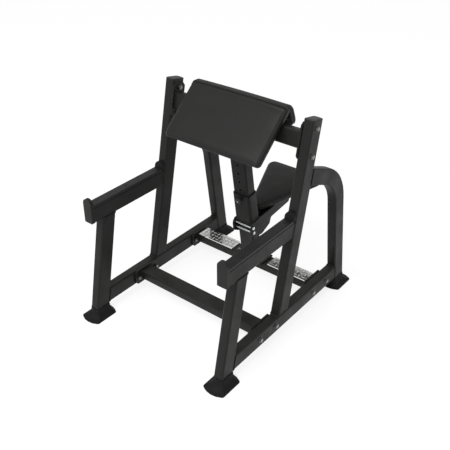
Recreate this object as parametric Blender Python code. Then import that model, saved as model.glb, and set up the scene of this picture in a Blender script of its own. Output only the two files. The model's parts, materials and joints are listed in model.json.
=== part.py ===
"""Biceps bench: two welded side frames joined by bolted crossbars, a peaked arm pad,
a rest for a bar on each side, and a seat that slides on a leaning column.

Metres, +Z up. X runs across the bench. The user sits at +Y and faces -Y, where the bar
rests are. The origin is on the floor, under the middle of the whole bench.
"""

import math

import bmesh
import bpy
from mathutils import Matrix, Vector

# Clearances
GAP = 0.0003                 # between pieces that touch
HOLE_PLAY = 0.0005           # round a bolt or a pin, on the radius
SLIDE_PLAY = 0.0004          # between the sleeve's bushes and the column

# Frame tube, used for everything but the column and the loose plates
TUBE_NARROW = 0.050
TUBE_DEEP = 0.080
TUBE_WALL = 0.003
TUBE_CORNER = 0.009

# Side frames. Each Y is where a tube's centre line crosses the rail's underside.
FRAME_SPAN = 0.830           # over the outer faces of both side frames
RAIL_BOTTOM = 0.055
POST_Y = -0.526
UPRIGHT_Y = -0.118
LEG_Y = 0.4215
FRAME_LEAN = math.radians(11.4)      # posts and uprights, tops towards the user
LEG_LEAN = math.radians(8.6)         # rear legs, feet towards the user
LEG_SLOPE = math.radians(22.2)       # fall of the rear leg's upper run
LEG_BEND_RADIUS = 0.235
LEG_BEND_STEPS = 9
LEG_TOP_HEIGHT = 0.801               # where the upper run's centre meets the upright
UPRIGHT_OVER_BAR = 0.096             # height of its cut end over the upper crossbar's centre

# Bar rests
ARM_BOTTOM = 0.534
ARM_OVERHANG = 0.0906                # ahead of the post's centre line, at the arm's underside
LINER_THICK = 0.012
LINER_CORNER = 0.004
STOP_HEIGHT = 0.033                  # over the liner
FRONT_STOP_THICK = 0.017
REAR_STOP_THICK = 0.020
STOP_FOOT_CORNER = 0.005

# Upright caps
CAP_EDGE = 0.003
CAP_DOME = 0.003
CAP_DOME_INSET = 0.007
CAP_PLUG = 0.015

# Feet: push-on rubber shoes
FOOT_LONG = 0.156
FOOT_WIDE = 0.114
FOOT_END_RADIUS = 0.095              # its front and rear edges bulge
FOOT_CORNER = 0.012
FOOT_LIP = 0.005
FOOT_SWEEP_STEPS = 5
FOOT_SOLE = 0.012
FOOT_RIM = 0.003                     # rubber round the tube at the top
FRONT_FOOT_BEYOND = 0.0135           # sole's middle, out past where the tube meets the rail
REAR_FOOT_BEYOND = 0.009

# Crossbars and their end flanges
FRONT_BAR_Y = -0.223
REAR_BAR_Y = 0.225
BAR_HEIGHT = 0.095                   # centre of the two low bars, at mid rail
FLANGE_LONG = 0.166
FLANGE_THICK = 0.008
FLANGE_CHAMFER = 0.014
VENT_RADIUS = 0.004

# Frame bolts
BOLT_RADIUS = 0.006
BOLT_PITCH = 0.125
BOLT_HEAD_FLATS = 0.019
BOLT_HEAD_THICK = 0.0075
BOLT_NUT_THICK = 0.010
BOLT_TAIL = 0.003

# Foot plates
FOOT_PLATE_THICK = 0.005
FOOT_PLATE_CORNER = 0.004
FOOT_PLATE_IN = 0.021                # clear of the column's base plate
FOOT_PLATE_OUT = 0.008               # clear of the crossbar's flange

# Column: a wider tube, its broad side towards the user
COLUMN_WIDE = 0.090
COLUMN_DEEP = 0.060
COLUMN_FOOT_BEHIND = 0.0051          # its centre line at floor level, behind the rear crossbar's
COLUMN_HEAD_BEHIND = 0.0109          # and under the upper crossbar, behind that bar's
BASE_PLATE_WIDE = 0.190
BASE_PLATE_LIP = 0.0164              # in front of the column
BASE_PLATE_THICK = 0.008
WELD_PLATE_CORNER = 0.008
TOP_PLATE_WIDE = 0.130
TOP_PLATE_DEEP = 0.094
HOLE_PITCH = 0.050
HOLE_COUNT = 5
PEG_WIDE = 0.040                     # the peg under the sleeve, its lowest stop
PEG_DEEP = 0.012
PEG_TALL = 0.030

# Seat carriage. Distances called UP run along the column from the floor.
SLEEVE_UP = 0.3842
SLEEVE_LONG = 0.162
SLEEVE_WALL = 0.0035
BUSH_THICK = 0.0022
BUSH_LONG = 0.012
BUSH_LIP = 0.003
COLLAR_THICK = 0.008
SIDE_PLATE_X = 0.052                 # inner face
SIDE_PLATE_THICK = 0.006
CROSS_PIN_RADIUS = 0.005
CROSS_PIN_CLEAR = 0.0013             # in front of the column
CROSS_PIN_DROP = {"upper": 0.022, "lower": 0.052}    # below the foot of the sleeve
CROSS_PIN_HEAD_RADIUS = 0.009
CROSS_PIN_HEAD_THICK = 0.007
CROSS_PIN_CHAMFER = 0.002

# Side plates, each place as (along, below): along is towards the user
PLATE_CORNER = 0.004
PLATE_NOSE = (-0.017, 0.003)         # from the upper cross pin
PLATE_NOSE_RADIUS = 0.012
PLATE_CHIN = (-0.016, 0.018)         # from the lower cross pin
PLATE_CHIN_RADIUS = 0.014
PLATE_BELLY = (0.024, 0.040)         # from the lower cross pin
PLATE_BELLY_RADIUS = 0.020
PLATE_KEEL = (0.018, 0.043)          # behind the sleeve, and below the lower cross pin
PLATE_KEEL_RADIUS = 0.030
PLATE_STEP_LOW = (0.082, 0.079)      # behind the sleeve, and below the seat
PLATE_STEP_HIGH = (0.092, 0.045)
PLATE_STEP_RADIUS = 0.013
PLATE_ARM_DEEP = 0.053               # at the arm's rear end
PLATE_ARM_SHORT = 0.004              # the arm ends this far before the seat plate
PLATE_ARM_RAKE = 0.006
WEB_THICK = 0.004                    # the folded web between the side plates
WEB_SHY = 0.001                      # inside their lower edge
WEB_START = 0.30                     # share of the keel that it leaves free for the column

# Seat
SEAT_GAP = 0.020                     # between the sleeve and the seat's front edge
SEAT_LONG = 0.4062
SEAT_TILT = math.radians(7.3)       # rear edge up
SEAT_RISE = 0.011                    # board's underside at the front edge, over the collar
SEAT_BOARD_THICK = 0.012
SEAT_FOAM_THICK = 0.034
SEAT_FRONT_RADIUS = 0.041
SEAT_REAR_HALF = 0.167
SEAT_REAR_CORNER = 0.040
SEAT_ROUNDING = 0.020
SEAT_WALL = 0.014
SEAT_CROWN = 0.004
SEAT_CROWN_CENTRE = 0.58             # share of the seat's length
COVER_BULGE = 0.001                  # of a cushion's sides, at half height
SEAT_PLATE_START = 0.090             # behind the seat's front edge
SEAT_PLATE_LONG = 0.158
SEAT_PLATE_WIDE = 0.120
SEAT_PLATE_THICK = 0.005
SEAT_PLATE_CORNER = 0.010

# Pull pin
PIN_BELOW_TOP = 0.019                # under the sleeve's top edge
PIN_NOSE_RADIUS = 0.0055
PIN_STEM_RADIUS = 0.004
PIN_SHOULDER_RADIUS = 0.0075
PIN_SHOULDER_THICK = 0.0025
PIN_NOSE_SHY = 0.0005                # the nose stops this far short of the column
HOUSING_RADIUS = 0.011
HOUSING_BORE = 0.0082
HOUSING_LONG = 0.020
HOUSING_CAP = 0.003
PIN_CHAMFER = 0.001
PIN_PROUD = 0.001                    # of the knob's face
KNOB_RADIUS = 0.016
KNOB_LONG = 0.013
KNOB_SKIRT = 0.007
KNOB_EDGE = 0.002
KNOB_CREST = 0.003
SPRING_WIRE = 0.0005
SPRING_RADIUS = 0.0062
SPRING_TURNS = 5

# Arm pad: two leaves that meet in a rounded ridge
RIDGE_HEIGHT = 1.115                 # where the outer planes would meet
RIDGE_RADIUS = 0.050
PAD_HALF = 0.270
FRONT_SLOPE = math.radians(41.9)
REAR_SLOPE = math.radians(68.0)
FRONT_LEAF = 0.349                   # from the sharp ridge to the lower edge
REAR_LEAF = 0.140
PAD_FOAM_THICK = 0.032
PAD_BOARD_THICK = 0.012
PAD_WALL = 0.012
PAD_ROUNDING = 0.020
PAD_CORNER = 0.022
PAD_CROWN = 0.004
PAD_TUCK = 0.005                     # how far the cover draws in at the board
PAD_INNER_RADIUS = 0.006
BOARD_INSET = 0.010
BOARD_MITRE_GAP = 0.001
STRAP_WIDE = 0.040
STRAP_THICK = 0.004
STRAP_X = 0.150
STRAP_FRONT = 0.213
STRAP_REAR = 0.112
STRAP_CLEAR = {"front": 0.002, "rear": 0.0135}       # over the upper crossbar's round edges
GUSSET_THICK = 0.006

FRAME_X = (FRAME_SPAN - TUBE_NARROW) / 2
ARM_TOP = ARM_BOTTOM + TUBE_DEEP
LINER_TOP = ARM_TOP + LINER_THICK
SIDES = {"left": -1, "right": 1}
ACROSS = Vector((1, 0, 0))
UP = Vector((0, 0, 1))
FRAME_UP = Vector((0, math.sin(FRAME_LEAN), math.cos(FRAME_LEAN)))
FRAME_FORWARD = Vector((0, -math.cos(FRAME_LEAN), math.sin(FRAME_LEAN)))
LEG_UP = Vector((0, -math.sin(LEG_LEAN), math.cos(LEG_LEAN)))
LEG_FORWARD = Vector((0, -math.cos(LEG_LEAN), -math.sin(LEG_LEAN)))
FRONT_DOWN = Vector((0, -math.cos(FRONT_SLOPE), -math.sin(FRONT_SLOPE)))
FRONT_OUT = Vector((0, -math.sin(FRONT_SLOPE), math.cos(FRONT_SLOPE)))
REAR_DOWN = Vector((0, math.cos(REAR_SLOPE), -math.sin(REAR_SLOPE)))
REAR_OUT = Vector((0, math.sin(REAR_SLOPE), math.cos(REAR_SLOPE)))
STRAP_DEPTH = PAD_FOAM_THICK + PAD_BOARD_THICK + GAP


def on_axis(y, lean_up, height):
    """The point at a height on a leaning centre line that crosses the rail's underside at y."""
    return Vector((0, y, RAIL_BOTTOM)) + lean_up * ((height - RAIL_BOTTOM) / lean_up.z)


def ridge_over_bar():
    """From the upper crossbar's centre to the pad's ridge, whose straps just clear the bar."""
    reach = STRAP_DEPTH + STRAP_THICK + TUBE_CORNER
    high = FRAME_UP * (TUBE_DEEP / 2 - TUBE_CORNER)
    ahead = FRAME_FORWARD * (TUBE_NARROW / 2 - TUBE_CORNER)
    front = (high + ahead).dot(FRONT_OUT) + reach + STRAP_CLEAR["front"]
    rear = (high - ahead).dot(REAR_OUT) + reach + STRAP_CLEAR["rear"]
    # The ridge is where the front leaf's outer plane and the rear leaf's meet.
    spread = FRONT_OUT.y * REAR_OUT.z - FRONT_OUT.z * REAR_OUT.y
    return Vector((0, (front * REAR_OUT.z - rear * FRONT_OUT.z) / spread,
                   (rear * FRONT_OUT.y - front * REAR_OUT.y) / spread))


# Places that follow from the sizes above
UPPER_BAR_HEIGHT = RIDGE_HEIGHT - ridge_over_bar().z
UPPER_BAR_CENTRE = on_axis(UPRIGHT_Y, FRAME_UP, UPPER_BAR_HEIGHT)
UPRIGHT_TOP = UPPER_BAR_HEIGHT + UPRIGHT_OVER_BAR
RIDGE = UPPER_BAR_CENTRE + ridge_over_bar()
RIDGE_HALF = FRONT_DOWN.angle(REAR_DOWN) / 2
RIDGE_INWARD = (FRONT_DOWN + REAR_DOWN).normalized()
ARM_FRONT_Y = on_axis(POST_Y, FRAME_UP, ARM_BOTTOM).y - ARM_OVERHANG
FRONT_FOOT_Y = POST_Y - FRONT_FOOT_BEYOND
REAR_FOOT_Y = LEG_Y + REAR_FOOT_BEYOND
SOCKET_FLOOR = FOOT_SOLE + GAP
FLANGE_FACE = FRAME_X - TUBE_NARROW / 2 - GAP
COLUMN_FOOT_Y = REAR_BAR_Y + COLUMN_FOOT_BEHIND
COLUMN_HEAD = (UPPER_BAR_CENTRE - FRAME_UP * (TUBE_DEEP / 2 + GAP)
               - FRAME_FORWARD * COLUMN_HEAD_BEHIND)
COLUMN_LEAN = math.atan2(COLUMN_FOOT_Y - COLUMN_HEAD.y, COLUMN_HEAD.z)
COLUMN_UP = Vector((0, -math.sin(COLUMN_LEAN), math.cos(COLUMN_LEAN)))
COLUMN_FORWARD = Vector((0, -math.cos(COLUMN_LEAN), -math.sin(COLUMN_LEAN)))


def coating(name, colour, roughness, metallic=0.0):
    """A plain surface: a base colour, a roughness and how metallic it is."""
    material = bpy.data.materials.new(name)
    material.use_nodes = True
    shader = material.node_tree.nodes["Principled BSDF"]
    shader.inputs["Base Color"].default_value = (*colour, 1.0)
    shader.inputs["Roughness"].default_value = roughness
    shader.inputs["Metallic"].default_value = metallic
    return material


def rounded_rectangle(across, deep, radius, steps=3):
    """Points round a rectangle with round corners, as (across, deep) pairs."""
    points = []
    for quarter, (side_a, side_b) in enumerate(((1, 1), (-1, 1), (-1, -1), (1, -1))):
        centre_a = side_a * (across / 2 - radius)
        centre_b = side_b * (deep / 2 - radius)
        for step in range(steps + 1):
            angle = math.radians(90) * (quarter + step / steps)
            points.append((centre_a + radius * math.cos(angle),
                           centre_b + radius * math.sin(angle)))
    return points


def rounded_outline(corners, step=math.radians(22.5)):
    """A closed outline through corners of (a, b, radius), each rounded by its radius."""
    points = []
    for index, (a, b, radius) in enumerate(corners):
        corner = Vector((a, b))
        before = (Vector(corners[index - 1][:2]) - corner).normalized()
        after = (Vector(corners[(index + 1) % len(corners)][:2]) - corner).normalized()
        half = before.angle(after) / 2
        if radius == 0:
            points.append((a, b))
            continue
        centre = corner + (before + after).normalized() * (radius / math.sin(half))
        start = corner + before * (radius / math.tan(half)) - centre
        end = corner + after * (radius / math.tan(half)) - centre
        turn = start.angle_signed(end)
        count = max(2, math.ceil(abs(turn) / step))
        for place in range(count + 1):
            spoke = start.copy()
            spoke.rotate(Matrix.Rotation(-turn * place / count, 2))
            points.append(tuple(centre + spoke))
    return points


def section_ring(section, centre, direction, plane):
    """A tube's section, slid along the tube until each point meets the cutting plane."""
    deep = direction.cross(ACROSS)
    plane_point, plane_normal = plane
    ring = []
    for across, depth in section:
        start = centre + ACROSS * across + deep * depth
        travel = (plane_point - start).dot(plane_normal) / direction.dot(plane_normal)
        ring.append(start + direction * travel)
    return ring


def circle_ring(centre, axis, along, radius, count=16):
    """A circle of points round an axis, at a distance along it."""
    side = ACROSS if abs(axis.x) < 0.9 else Vector((0, 1, 0))
    first = axis.cross(side).normalized()
    second = axis.cross(first)
    middle = centre + axis * along
    spokes = [2 * math.pi * place / count for place in range(count)]
    return [middle + first * radius * math.cos(a) + second * radius * math.sin(a) for a in spokes]


def hexagon_ring(centre, axis, along, flats):
    """A hexagon with a point in the middle of each side, so that it joins a 12-sided ring."""
    ring = circle_ring(centre, axis, along, flats / 2, 12)
    middle = centre + axis * along
    longer = 1 / math.cos(math.radians(30))
    return [middle + (p - middle) * (longer if place % 2 else 1) for place, p in enumerate(ring)]


def bridge(mesh, first, second):
    for place in range(len(first)):
        after = (place + 1) % len(first)
        mesh.faces.new((first[place], first[after], second[after], second[place]))


def finish_mesh(name, mesh):
    """Turn the faces outwards and shade round stretches smooth."""
    bmesh.ops.recalc_face_normals(mesh, faces=mesh.faces)
    data = bpy.data.meshes.new(name)
    mesh.to_mesh(data)
    mesh.free()
    data.shade_smooth()
    data.set_sharp_from_angle(angle=math.radians(35))
    return data


def solid_mesh(name, rings):
    """A closed solid that runs through the rings, with its two ends filled."""
    mesh = bmesh.new()
    rows = [[mesh.verts.new(point) for point in ring] for ring in rings]
    for first, second in zip(rows, rows[1:]):
        bridge(mesh, first, second)
    mesh.faces.new(rows[0])
    mesh.faces.new(rows[-1])
    return finish_mesh(name, mesh)


def hollow_mesh(name, outer, inner):
    """A pipe with open ends, between its outer rings and its inner rings."""
    mesh = bmesh.new()
    outer_rows = [[mesh.verts.new(point) for point in ring] for ring in outer]
    inner_rows = [[mesh.verts.new(point) for point in ring] for ring in inner]
    for rows in (outer_rows, inner_rows):
        for first, second in zip(rows, rows[1:]):
            bridge(mesh, first, second)
    bridge(mesh, outer_rows[0], inner_rows[0])
    bridge(mesh, outer_rows[-1], inner_rows[-1])
    return finish_mesh(name, mesh)


def plate_mesh(name, outline, half_thick):
    """A flat plate in the YZ plane, its outline given as (y, z), centred on X = 0."""
    return solid_mesh(name, [[(x, y, z) for y, z in outline] for x in (-half_thick, half_thick)])


def tube_sections(play=0.0, wide=TUBE_NARROW, deep=TUBE_DEEP):
    """A tube's outer and inner sections, the outer one larger by the play."""
    outer = rounded_rectangle(wide + 2 * play, deep + 2 * play, TUBE_CORNER + play)
    inner = rounded_rectangle(wide - 2 * TUBE_WALL, deep - 2 * TUBE_WALL, TUBE_CORNER - TUBE_WALL)
    return outer, inner


def tube_mesh(name, centre, direction, start_plane, end_plane):
    """A straight length of frame tube between two cutting planes."""
    rings = [[section_ring(section, centre, direction, plane) for plane in (start_plane, end_plane)]
             for section in tube_sections()]
    return hollow_mesh(name, *rings)


def add(name, data, material, location=(0, 0, 0), parent=None):
    """Place a piece in the scene, under its parent if it has one."""
    piece = bpy.data.objects.new(name, data)
    piece.location = location
    if not data.materials:
        data.materials.append(material)
    bpy.context.collection.objects.link(piece)
    if parent is not None:
        data.transform(parent["world"].inverted())
        piece.parent = parent["empty"]
    return piece


def add_pair(name, data, material, x=FRAME_X):
    """A left and a right piece with one mesh between them."""
    return [add(f"{name}_{side}", data, material, (sign * x, 0, 0)) for side, sign in SIDES.items()]


def add_axis(name, world, parent=None):
    """An empty on a joint's axis, which carries the pieces that move along it."""
    empty = bpy.data.objects.new(name, None)
    bpy.context.collection.objects.link(empty)
    empty.matrix_basis = world
    if parent is not None:
        empty.parent = parent["empty"]
        empty.matrix_basis = parent["world"].inverted() @ world
    return {"empty": empty, "world": world}


def combine(piece, operation, name, data, location=(0, 0, 0)):
    """Weld a shape to a piece, or cut it out. The hidden shape may serve other pieces too."""
    tool = bpy.data.objects.get(name)
    if tool is None:
        tool = bpy.data.objects.new(name, data)
        tool.location = location
        tool.hide_render = True
        tool.display_type = "WIRE"
        bpy.context.collection.objects.link(tool)
    change = piece.modifiers.new(name, "BOOLEAN")
    change.operation = operation
    change.solver = "EXACT"
    change.object = tool


def box_mesh(name, low, high):
    corners = rounded_outline([(low[0], low[1], 0), (high[0], low[1], 0),
                               (high[0], high[1], 0), (low[0], high[1], 0)])
    return solid_mesh(name, [[(x, y, z) for x, y in corners] for z in (low[2], high[2])])


# Side frames

def face_plane(y, lean_up, forward, gap=GAP):
    """The front or rear face of a leaning tube, a gap away from its metal."""
    return on_axis(y, lean_up, RAIL_BOTTOM) + forward * (TUBE_DEEP / 2 + gap), forward


def level_plane(height):
    return Vector((0, 0, height)), UP


def front_post_mesh():
    return tube_mesh("front_post", on_axis(POST_Y, FRAME_UP, RAIL_BOTTOM), FRAME_UP,
                     level_plane(SOCKET_FLOOR), level_plane(ARM_BOTTOM - GAP))


def upright_mesh():
    top = on_axis(UPRIGHT_Y, FRAME_UP, UPRIGHT_TOP)
    return tube_mesh("upright", top, FRAME_UP,
                     level_plane(RAIL_BOTTOM + TUBE_DEEP + GAP), (top, FRAME_UP))


def base_rail_mesh():
    centre = Vector((0, 0, RAIL_BOTTOM + TUBE_DEEP / 2))
    return tube_mesh("base_rail", centre, Vector((0, 1, 0)),
                     face_plane(POST_Y, FRAME_UP, -FRAME_FORWARD),
                     face_plane(LEG_Y, LEG_UP, LEG_FORWARD))


def bar_arm_mesh():
    centre = Vector((0, 0, ARM_BOTTOM + TUBE_DEEP / 2))
    front = Vector((0, ARM_FRONT_Y, 0)), Vector((0, 1, 0))
    return tube_mesh("bar_arm", centre, Vector((0, 1, 0)), front,
                     face_plane(UPRIGHT_Y, FRAME_UP, FRAME_FORWARD))


def rear_leg_mesh():
    """The upper run falls from the upright, then the tube bends down into the foot."""
    run = Vector((0, math.cos(LEG_SLOPE), -math.sin(LEG_SLOPE)))
    down = -LEG_UP
    start_plane = face_plane(UPRIGHT_Y, FRAME_UP, -FRAME_FORWARD)
    top = on_axis(UPRIGHT_Y, FRAME_UP, LEG_TOP_HEIGHT)
    foot = on_axis(LEG_Y, LEG_UP, RAIL_BOTTOM)
    turn = run.angle(down)
    along_run = (foot - top).cross(down).dot(ACROSS) / run.cross(down).dot(ACROSS)
    corner = top + run * along_run
    bend_start = corner - run * (LEG_BEND_RADIUS * math.tan(turn / 2))
    centre = bend_start + run.cross(ACROSS) * LEG_BEND_RADIUS
    rings = []
    for section in tube_sections():
        path = [section_ring(section, top, run, start_plane)]
        for step in range(LEG_BEND_STEPS + 1):
            swing = Matrix.Rotation(-turn * step / LEG_BEND_STEPS, 3, "X")
            place = centre + swing @ (bend_start - centre)
            heading = swing @ run
            path.append(section_ring(section, place, heading, (place, heading)))
        path.append(section_ring(section, foot, down, level_plane(SOCKET_FLOOR)))
        rings.append(path)
    return hollow_mesh("rear_leg", *rings)


def upright_cap_mesh():
    """A plug with a low domed head, pressed into the upright's open end."""
    top = on_axis(UPRIGHT_Y, FRAME_UP, UPRIGHT_TOP)

    def level(height, inset, corner):
        section = rounded_rectangle(TUBE_NARROW - 2 * inset, TUBE_DEEP - 2 * inset, corner)
        place = top + FRAME_UP * height
        return section_ring(section, place, FRAME_UP, (place, FRAME_UP))

    plug_inset = TUBE_WALL + GAP
    plug_corner = TUBE_CORNER - plug_inset
    return solid_mesh("upright_cap", [
        level(-CAP_PLUG, plug_inset, plug_corner),
        level(GAP, plug_inset, plug_corner),
        level(GAP, 0, TUBE_CORNER),
        level(GAP + CAP_EDGE, 0, TUBE_CORNER),
        level(GAP + CAP_EDGE + CAP_DOME, CAP_DOME_INSET, TUBE_CORNER)])


def stop_outline(height):
    """A stop seen along the arm: square foot, fully round top. (across, up) pairs."""
    half = TUBE_NARROW / 2
    foot = [(-half, 0, STOP_FOOT_CORNER), (half, 0, STOP_FOOT_CORNER)]
    round_top = [(half * math.cos(a), height - half + half * math.sin(a))
                 for a in (math.pi * step / 12 for step in range(13))]
    base = rounded_outline([*foot, (half, height, 0), (-half, height, 0)])
    return base[:-2] + round_top


def front_stop_mesh():
    """Closes the arm's open end and stands over the liner."""
    outline = stop_outline(LINER_TOP + STOP_HEIGHT - ARM_BOTTOM)
    rear = ARM_FRONT_Y - GAP
    return solid_mesh("arm_front_stop", [[(x, y, ARM_BOTTOM + up) for x, up in outline]
                                         for y in (rear, rear - FRONT_STOP_THICK)])


def rear_stop_mesh():
    """A bumper flat against the upright's front face, standing on the arm."""
    face_point, face_normal = face_plane(UPRIGHT_Y, FRAME_UP, FRAME_FORWARD)
    outline = stop_outline((LINER_TOP + STOP_HEIGHT - ARM_TOP - GAP) / FRAME_UP.z)
    rings = []
    for depth in (0, REAR_STOP_THICK):
        origin = face_point + face_normal * depth
        foot = origin + FRAME_UP * ((ARM_TOP + GAP - origin.z) / FRAME_UP.z)
        # The foot is cut level, so that it sits flat on the arm.
        rings.append([foot + ACROSS * x + FRAME_UP * up for x, up in outline])
    return solid_mesh("arm_rear_stop", rings)


def arm_liner_mesh():
    """The wear strip that a bar rests on, from the front stop to the rear stop."""
    half = TUBE_NARROW / 2
    outline = rounded_outline([(-half, ARM_TOP + GAP, 0), (half, ARM_TOP + GAP, 0),
                               (half, LINER_TOP, LINER_CORNER), (-half, LINER_TOP, LINER_CORNER)])
    stop_point, stop_normal = face_plane(UPRIGHT_Y, FRAME_UP, FRAME_FORWARD)
    stop_point = stop_point + stop_normal * (REAR_STOP_THICK + GAP)
    front = []
    rear = []
    for x, z in outline:
        front.append((x, ARM_FRONT_Y, z))
        run_back = stop_point.y + (stop_point.z - z) * stop_normal.z / stop_normal.y
        rear.append((x, run_back, z))
    return solid_mesh("arm_liner", [front, rear])


def foot_outline(wide, long, end_radius, corner):
    """Straight sides and bulging ends that meet in fillets, as (across, along) pairs."""
    across = wide / 2 - corner
    end_centre = long / 2 - end_radius
    meet = math.acos(across / (end_radius - corner))
    fillet = end_centre + (end_radius - corner) * math.sin(meet)
    quarter = [(across + corner * math.cos(meet * step / 3), fillet + corner * math.sin(meet * step / 3))
               for step in range(4)]
    halfway = (meet + math.radians(90)) / 2
    quarter.append((end_radius * math.cos(halfway), end_centre + end_radius * math.sin(halfway)))
    end = quarter + [(0, long / 2)] + [(-x, y) for x, y in reversed(quarter)]
    return end + [(-x, -y) for x, y in end]


def foot_mesh(name, y, tube_y, lean_up):
    """A shoe with a flat sole and a thin lip, from which it sweeps up round the tube."""
    rim_height = RAIL_BOTTOM - GAP
    neck = on_axis(tube_y, lean_up, rim_height)
    sole = [Vector((a, y + b, 0)) for a, b in
            foot_outline(FOOT_WIDE, FOOT_LONG, FOOT_END_RADIUS, FOOT_CORNER)]
    collar = [Vector((a, neck.y + b, 0)) for a, b in
              foot_outline(TUBE_NARROW + 2 * FOOT_RIM, TUBE_DEEP + 2 * FOOT_RIM,
                           TUBE_DEEP, TUBE_CORNER + FOOT_RIM)]
    rings = [sole]
    for step in range(FOOT_SWEEP_STEPS + 1):
        turn = math.radians(90) * step / FOOT_SWEEP_STEPS
        height = FOOT_LIP + (rim_height - FOOT_LIP) * (1 - math.cos(turn))
        rings.append([a.lerp(b, math.sin(turn)) + UP * height for a, b in zip(sole, collar)])
    return solid_mesh(name, rings)


def socket_mesh(name, tube_y, lean_up):
    """The tube's own shape and its clearance, to cut the foot's socket."""
    section = tube_sections(GAP)[0]
    centre = on_axis(tube_y, lean_up, RAIL_BOTTOM)
    return solid_mesh(name, [section_ring(section, centre, lean_up, level_plane(height))
                             for height in (FOOT_SOLE, RAIL_BOTTOM + FOOT_SOLE)])


def build_feet(rubber):
    feet = (("front_foot", FRONT_FOOT_Y, POST_Y, FRAME_UP), ("rear_foot", REAR_FOOT_Y, LEG_Y, LEG_UP))
    for name, y, tube_y, lean_up in feet:
        socket = socket_mesh(f"{name}_socket", tube_y, lean_up)
        for piece in add_pair(name, foot_mesh(name, y, tube_y, lean_up), rubber):
            combine(piece, "DIFFERENCE", f"{piece.name}_socket", socket, piece.location)


def bolt_places():
    """Where each pair of frame bolts crosses the machine: bar name, number and (y, z)."""
    for bar in ("front", "rear", "upper"):
        centre, along, _ = crossbar_place(bar)
        for number, sign in enumerate((-1, 1), 1):
            yield bar, number, centre + along * (sign * BOLT_PITCH / 2)


def bolt_hole_mesh():
    """Rods across the whole machine, one through each pair of bolt holes."""
    mesh = bmesh.new()
    for _, _, place in bolt_places():
        ends = [[mesh.verts.new(p) for p in
                 circle_ring(place, ACROSS, side * FRAME_SPAN, BOLT_RADIUS + HOLE_PLAY, 12)]
                for side in (-1, 1)]
        bridge(mesh, *ends)
        mesh.faces.new(ends[0])
        mesh.faces.new(ends[1])
    return finish_mesh("bolt_holes", mesh)


def bolt_mesh():
    """A hexagon bolt with its nut, through the frame tube and a flange, head at +X."""
    outer = TUBE_NARROW / 2 + GAP
    inner = -TUBE_NARROW / 2 - FLANGE_THICK - 2 * GAP
    origin = Vector((0, 0, 0))
    nut_end = inner - BOLT_NUT_THICK
    return solid_mesh("frame_bolt", [
        hexagon_ring(origin, ACROSS, outer + BOLT_HEAD_THICK, BOLT_HEAD_FLATS),
        hexagon_ring(origin, ACROSS, outer, BOLT_HEAD_FLATS),
        circle_ring(origin, ACROSS, outer, BOLT_RADIUS, 12),
        circle_ring(origin, ACROSS, inner, BOLT_RADIUS, 12),
        hexagon_ring(origin, ACROSS, inner, BOLT_HEAD_FLATS),
        hexagon_ring(origin, ACROSS, nut_end, BOLT_HEAD_FLATS),
        circle_ring(origin, ACROSS, nut_end, BOLT_RADIUS, 12),
        circle_ring(origin, ACROSS, nut_end - BOLT_TAIL, BOLT_RADIUS, 12)])


def build_bolts(steel):
    data = bolt_mesh()
    for bar, number, place in bolt_places():
        for side, sign in SIDES.items():
            name = f"bolt_{bar}_{number}_{side}"
            bolt = add(name, data, steel, (sign * FRAME_X, place.y, place.z))
            if sign < 0:
                bolt.rotation_euler.z = math.pi


def build_side_frames(coat, rubber, liner, holes):
    for name, data in (("base_rail", base_rail_mesh()), ("upright", upright_mesh())):
        for piece in add_pair(name, data, coat):
            combine(piece, "DIFFERENCE", "bolt_holes", holes)
    add_pair("front_post", front_post_mesh(), coat)
    add_pair("rear_leg", rear_leg_mesh(), coat)
    add_pair("bar_arm", bar_arm_mesh(), coat)
    add_pair("upright_cap", upright_cap_mesh(), rubber)
    add_pair("arm_front_stop", front_stop_mesh(), coat)
    add_pair("arm_rear_stop", rear_stop_mesh(), rubber)
    add_pair("arm_liner", arm_liner_mesh(), liner)
    build_feet(rubber)


# Crossbars

def crossbar_place(bar):
    """A crossbar's centre, the way its flanges run, and the way its top faces."""
    if bar == "upper":
        return UPPER_BAR_CENTRE, FRAME_UP, FRAME_FORWARD
    y = {"front": FRONT_BAR_Y, "rear": REAR_BAR_Y}[bar]
    return Vector((0, y, BAR_HEIGHT)), Vector((0, 1, 0)), UP


def crossbar_ring(section, centre, wide, thin, x):
    """The bar's section across the machine: its deep side lies along the flanges."""
    return [centre + ACROSS * x + wide * b + thin * a for a, b in section]


def build_crossbar(bar, coat, holes):
    """A tube with a bolting flange welded on each end, flat on the side frames."""
    centre, wide, thin = crossbar_place(bar)
    tube_end = FLANGE_FACE - FLANGE_THICK / 2
    rings = [[crossbar_ring(section, centre, wide, thin, x) for x in (-tube_end, tube_end)]
             for section in tube_sections()]
    piece = add(f"{bar}_crossbar", hollow_mesh(f"{bar}_crossbar", *rings), coat)
    long, deep, cut = FLANGE_LONG / 2, TUBE_DEEP / 2, FLANGE_CHAMFER
    outline = [(long, deep - cut), (long - cut, deep), (cut - long, deep), (-long, deep - cut),
               (-long, cut - deep), (cut - long, -deep), (long - cut, -deep), (long, cut - deep)]
    for side, sign in SIDES.items():
        faces = (sign * FLANGE_FACE, sign * (FLANGE_FACE - FLANGE_THICK))
        flange = solid_mesh(f"{bar}_flange_{side}",
                            [[centre + ACROSS * x + wide * a + thin * b for a, b in outline]
                             for x in faces])
        combine(piece, "UNION", flange.name, flange)
    combine(piece, "DIFFERENCE", "bolt_holes", holes)
    # A vent in the underside, as hot-dipped and powder-coated tubes have.
    vent = [circle_ring(centre, -thin, along, VENT_RADIUS, 8) for along in (TUBE_NARROW / 4, TUBE_NARROW)]
    vent_place = ACROSS * (FRAME_X / 2)
    combine(piece, "DIFFERENCE", f"{bar}_vent", solid_mesh(f"{bar}_vent", vent), vent_place)


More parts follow.
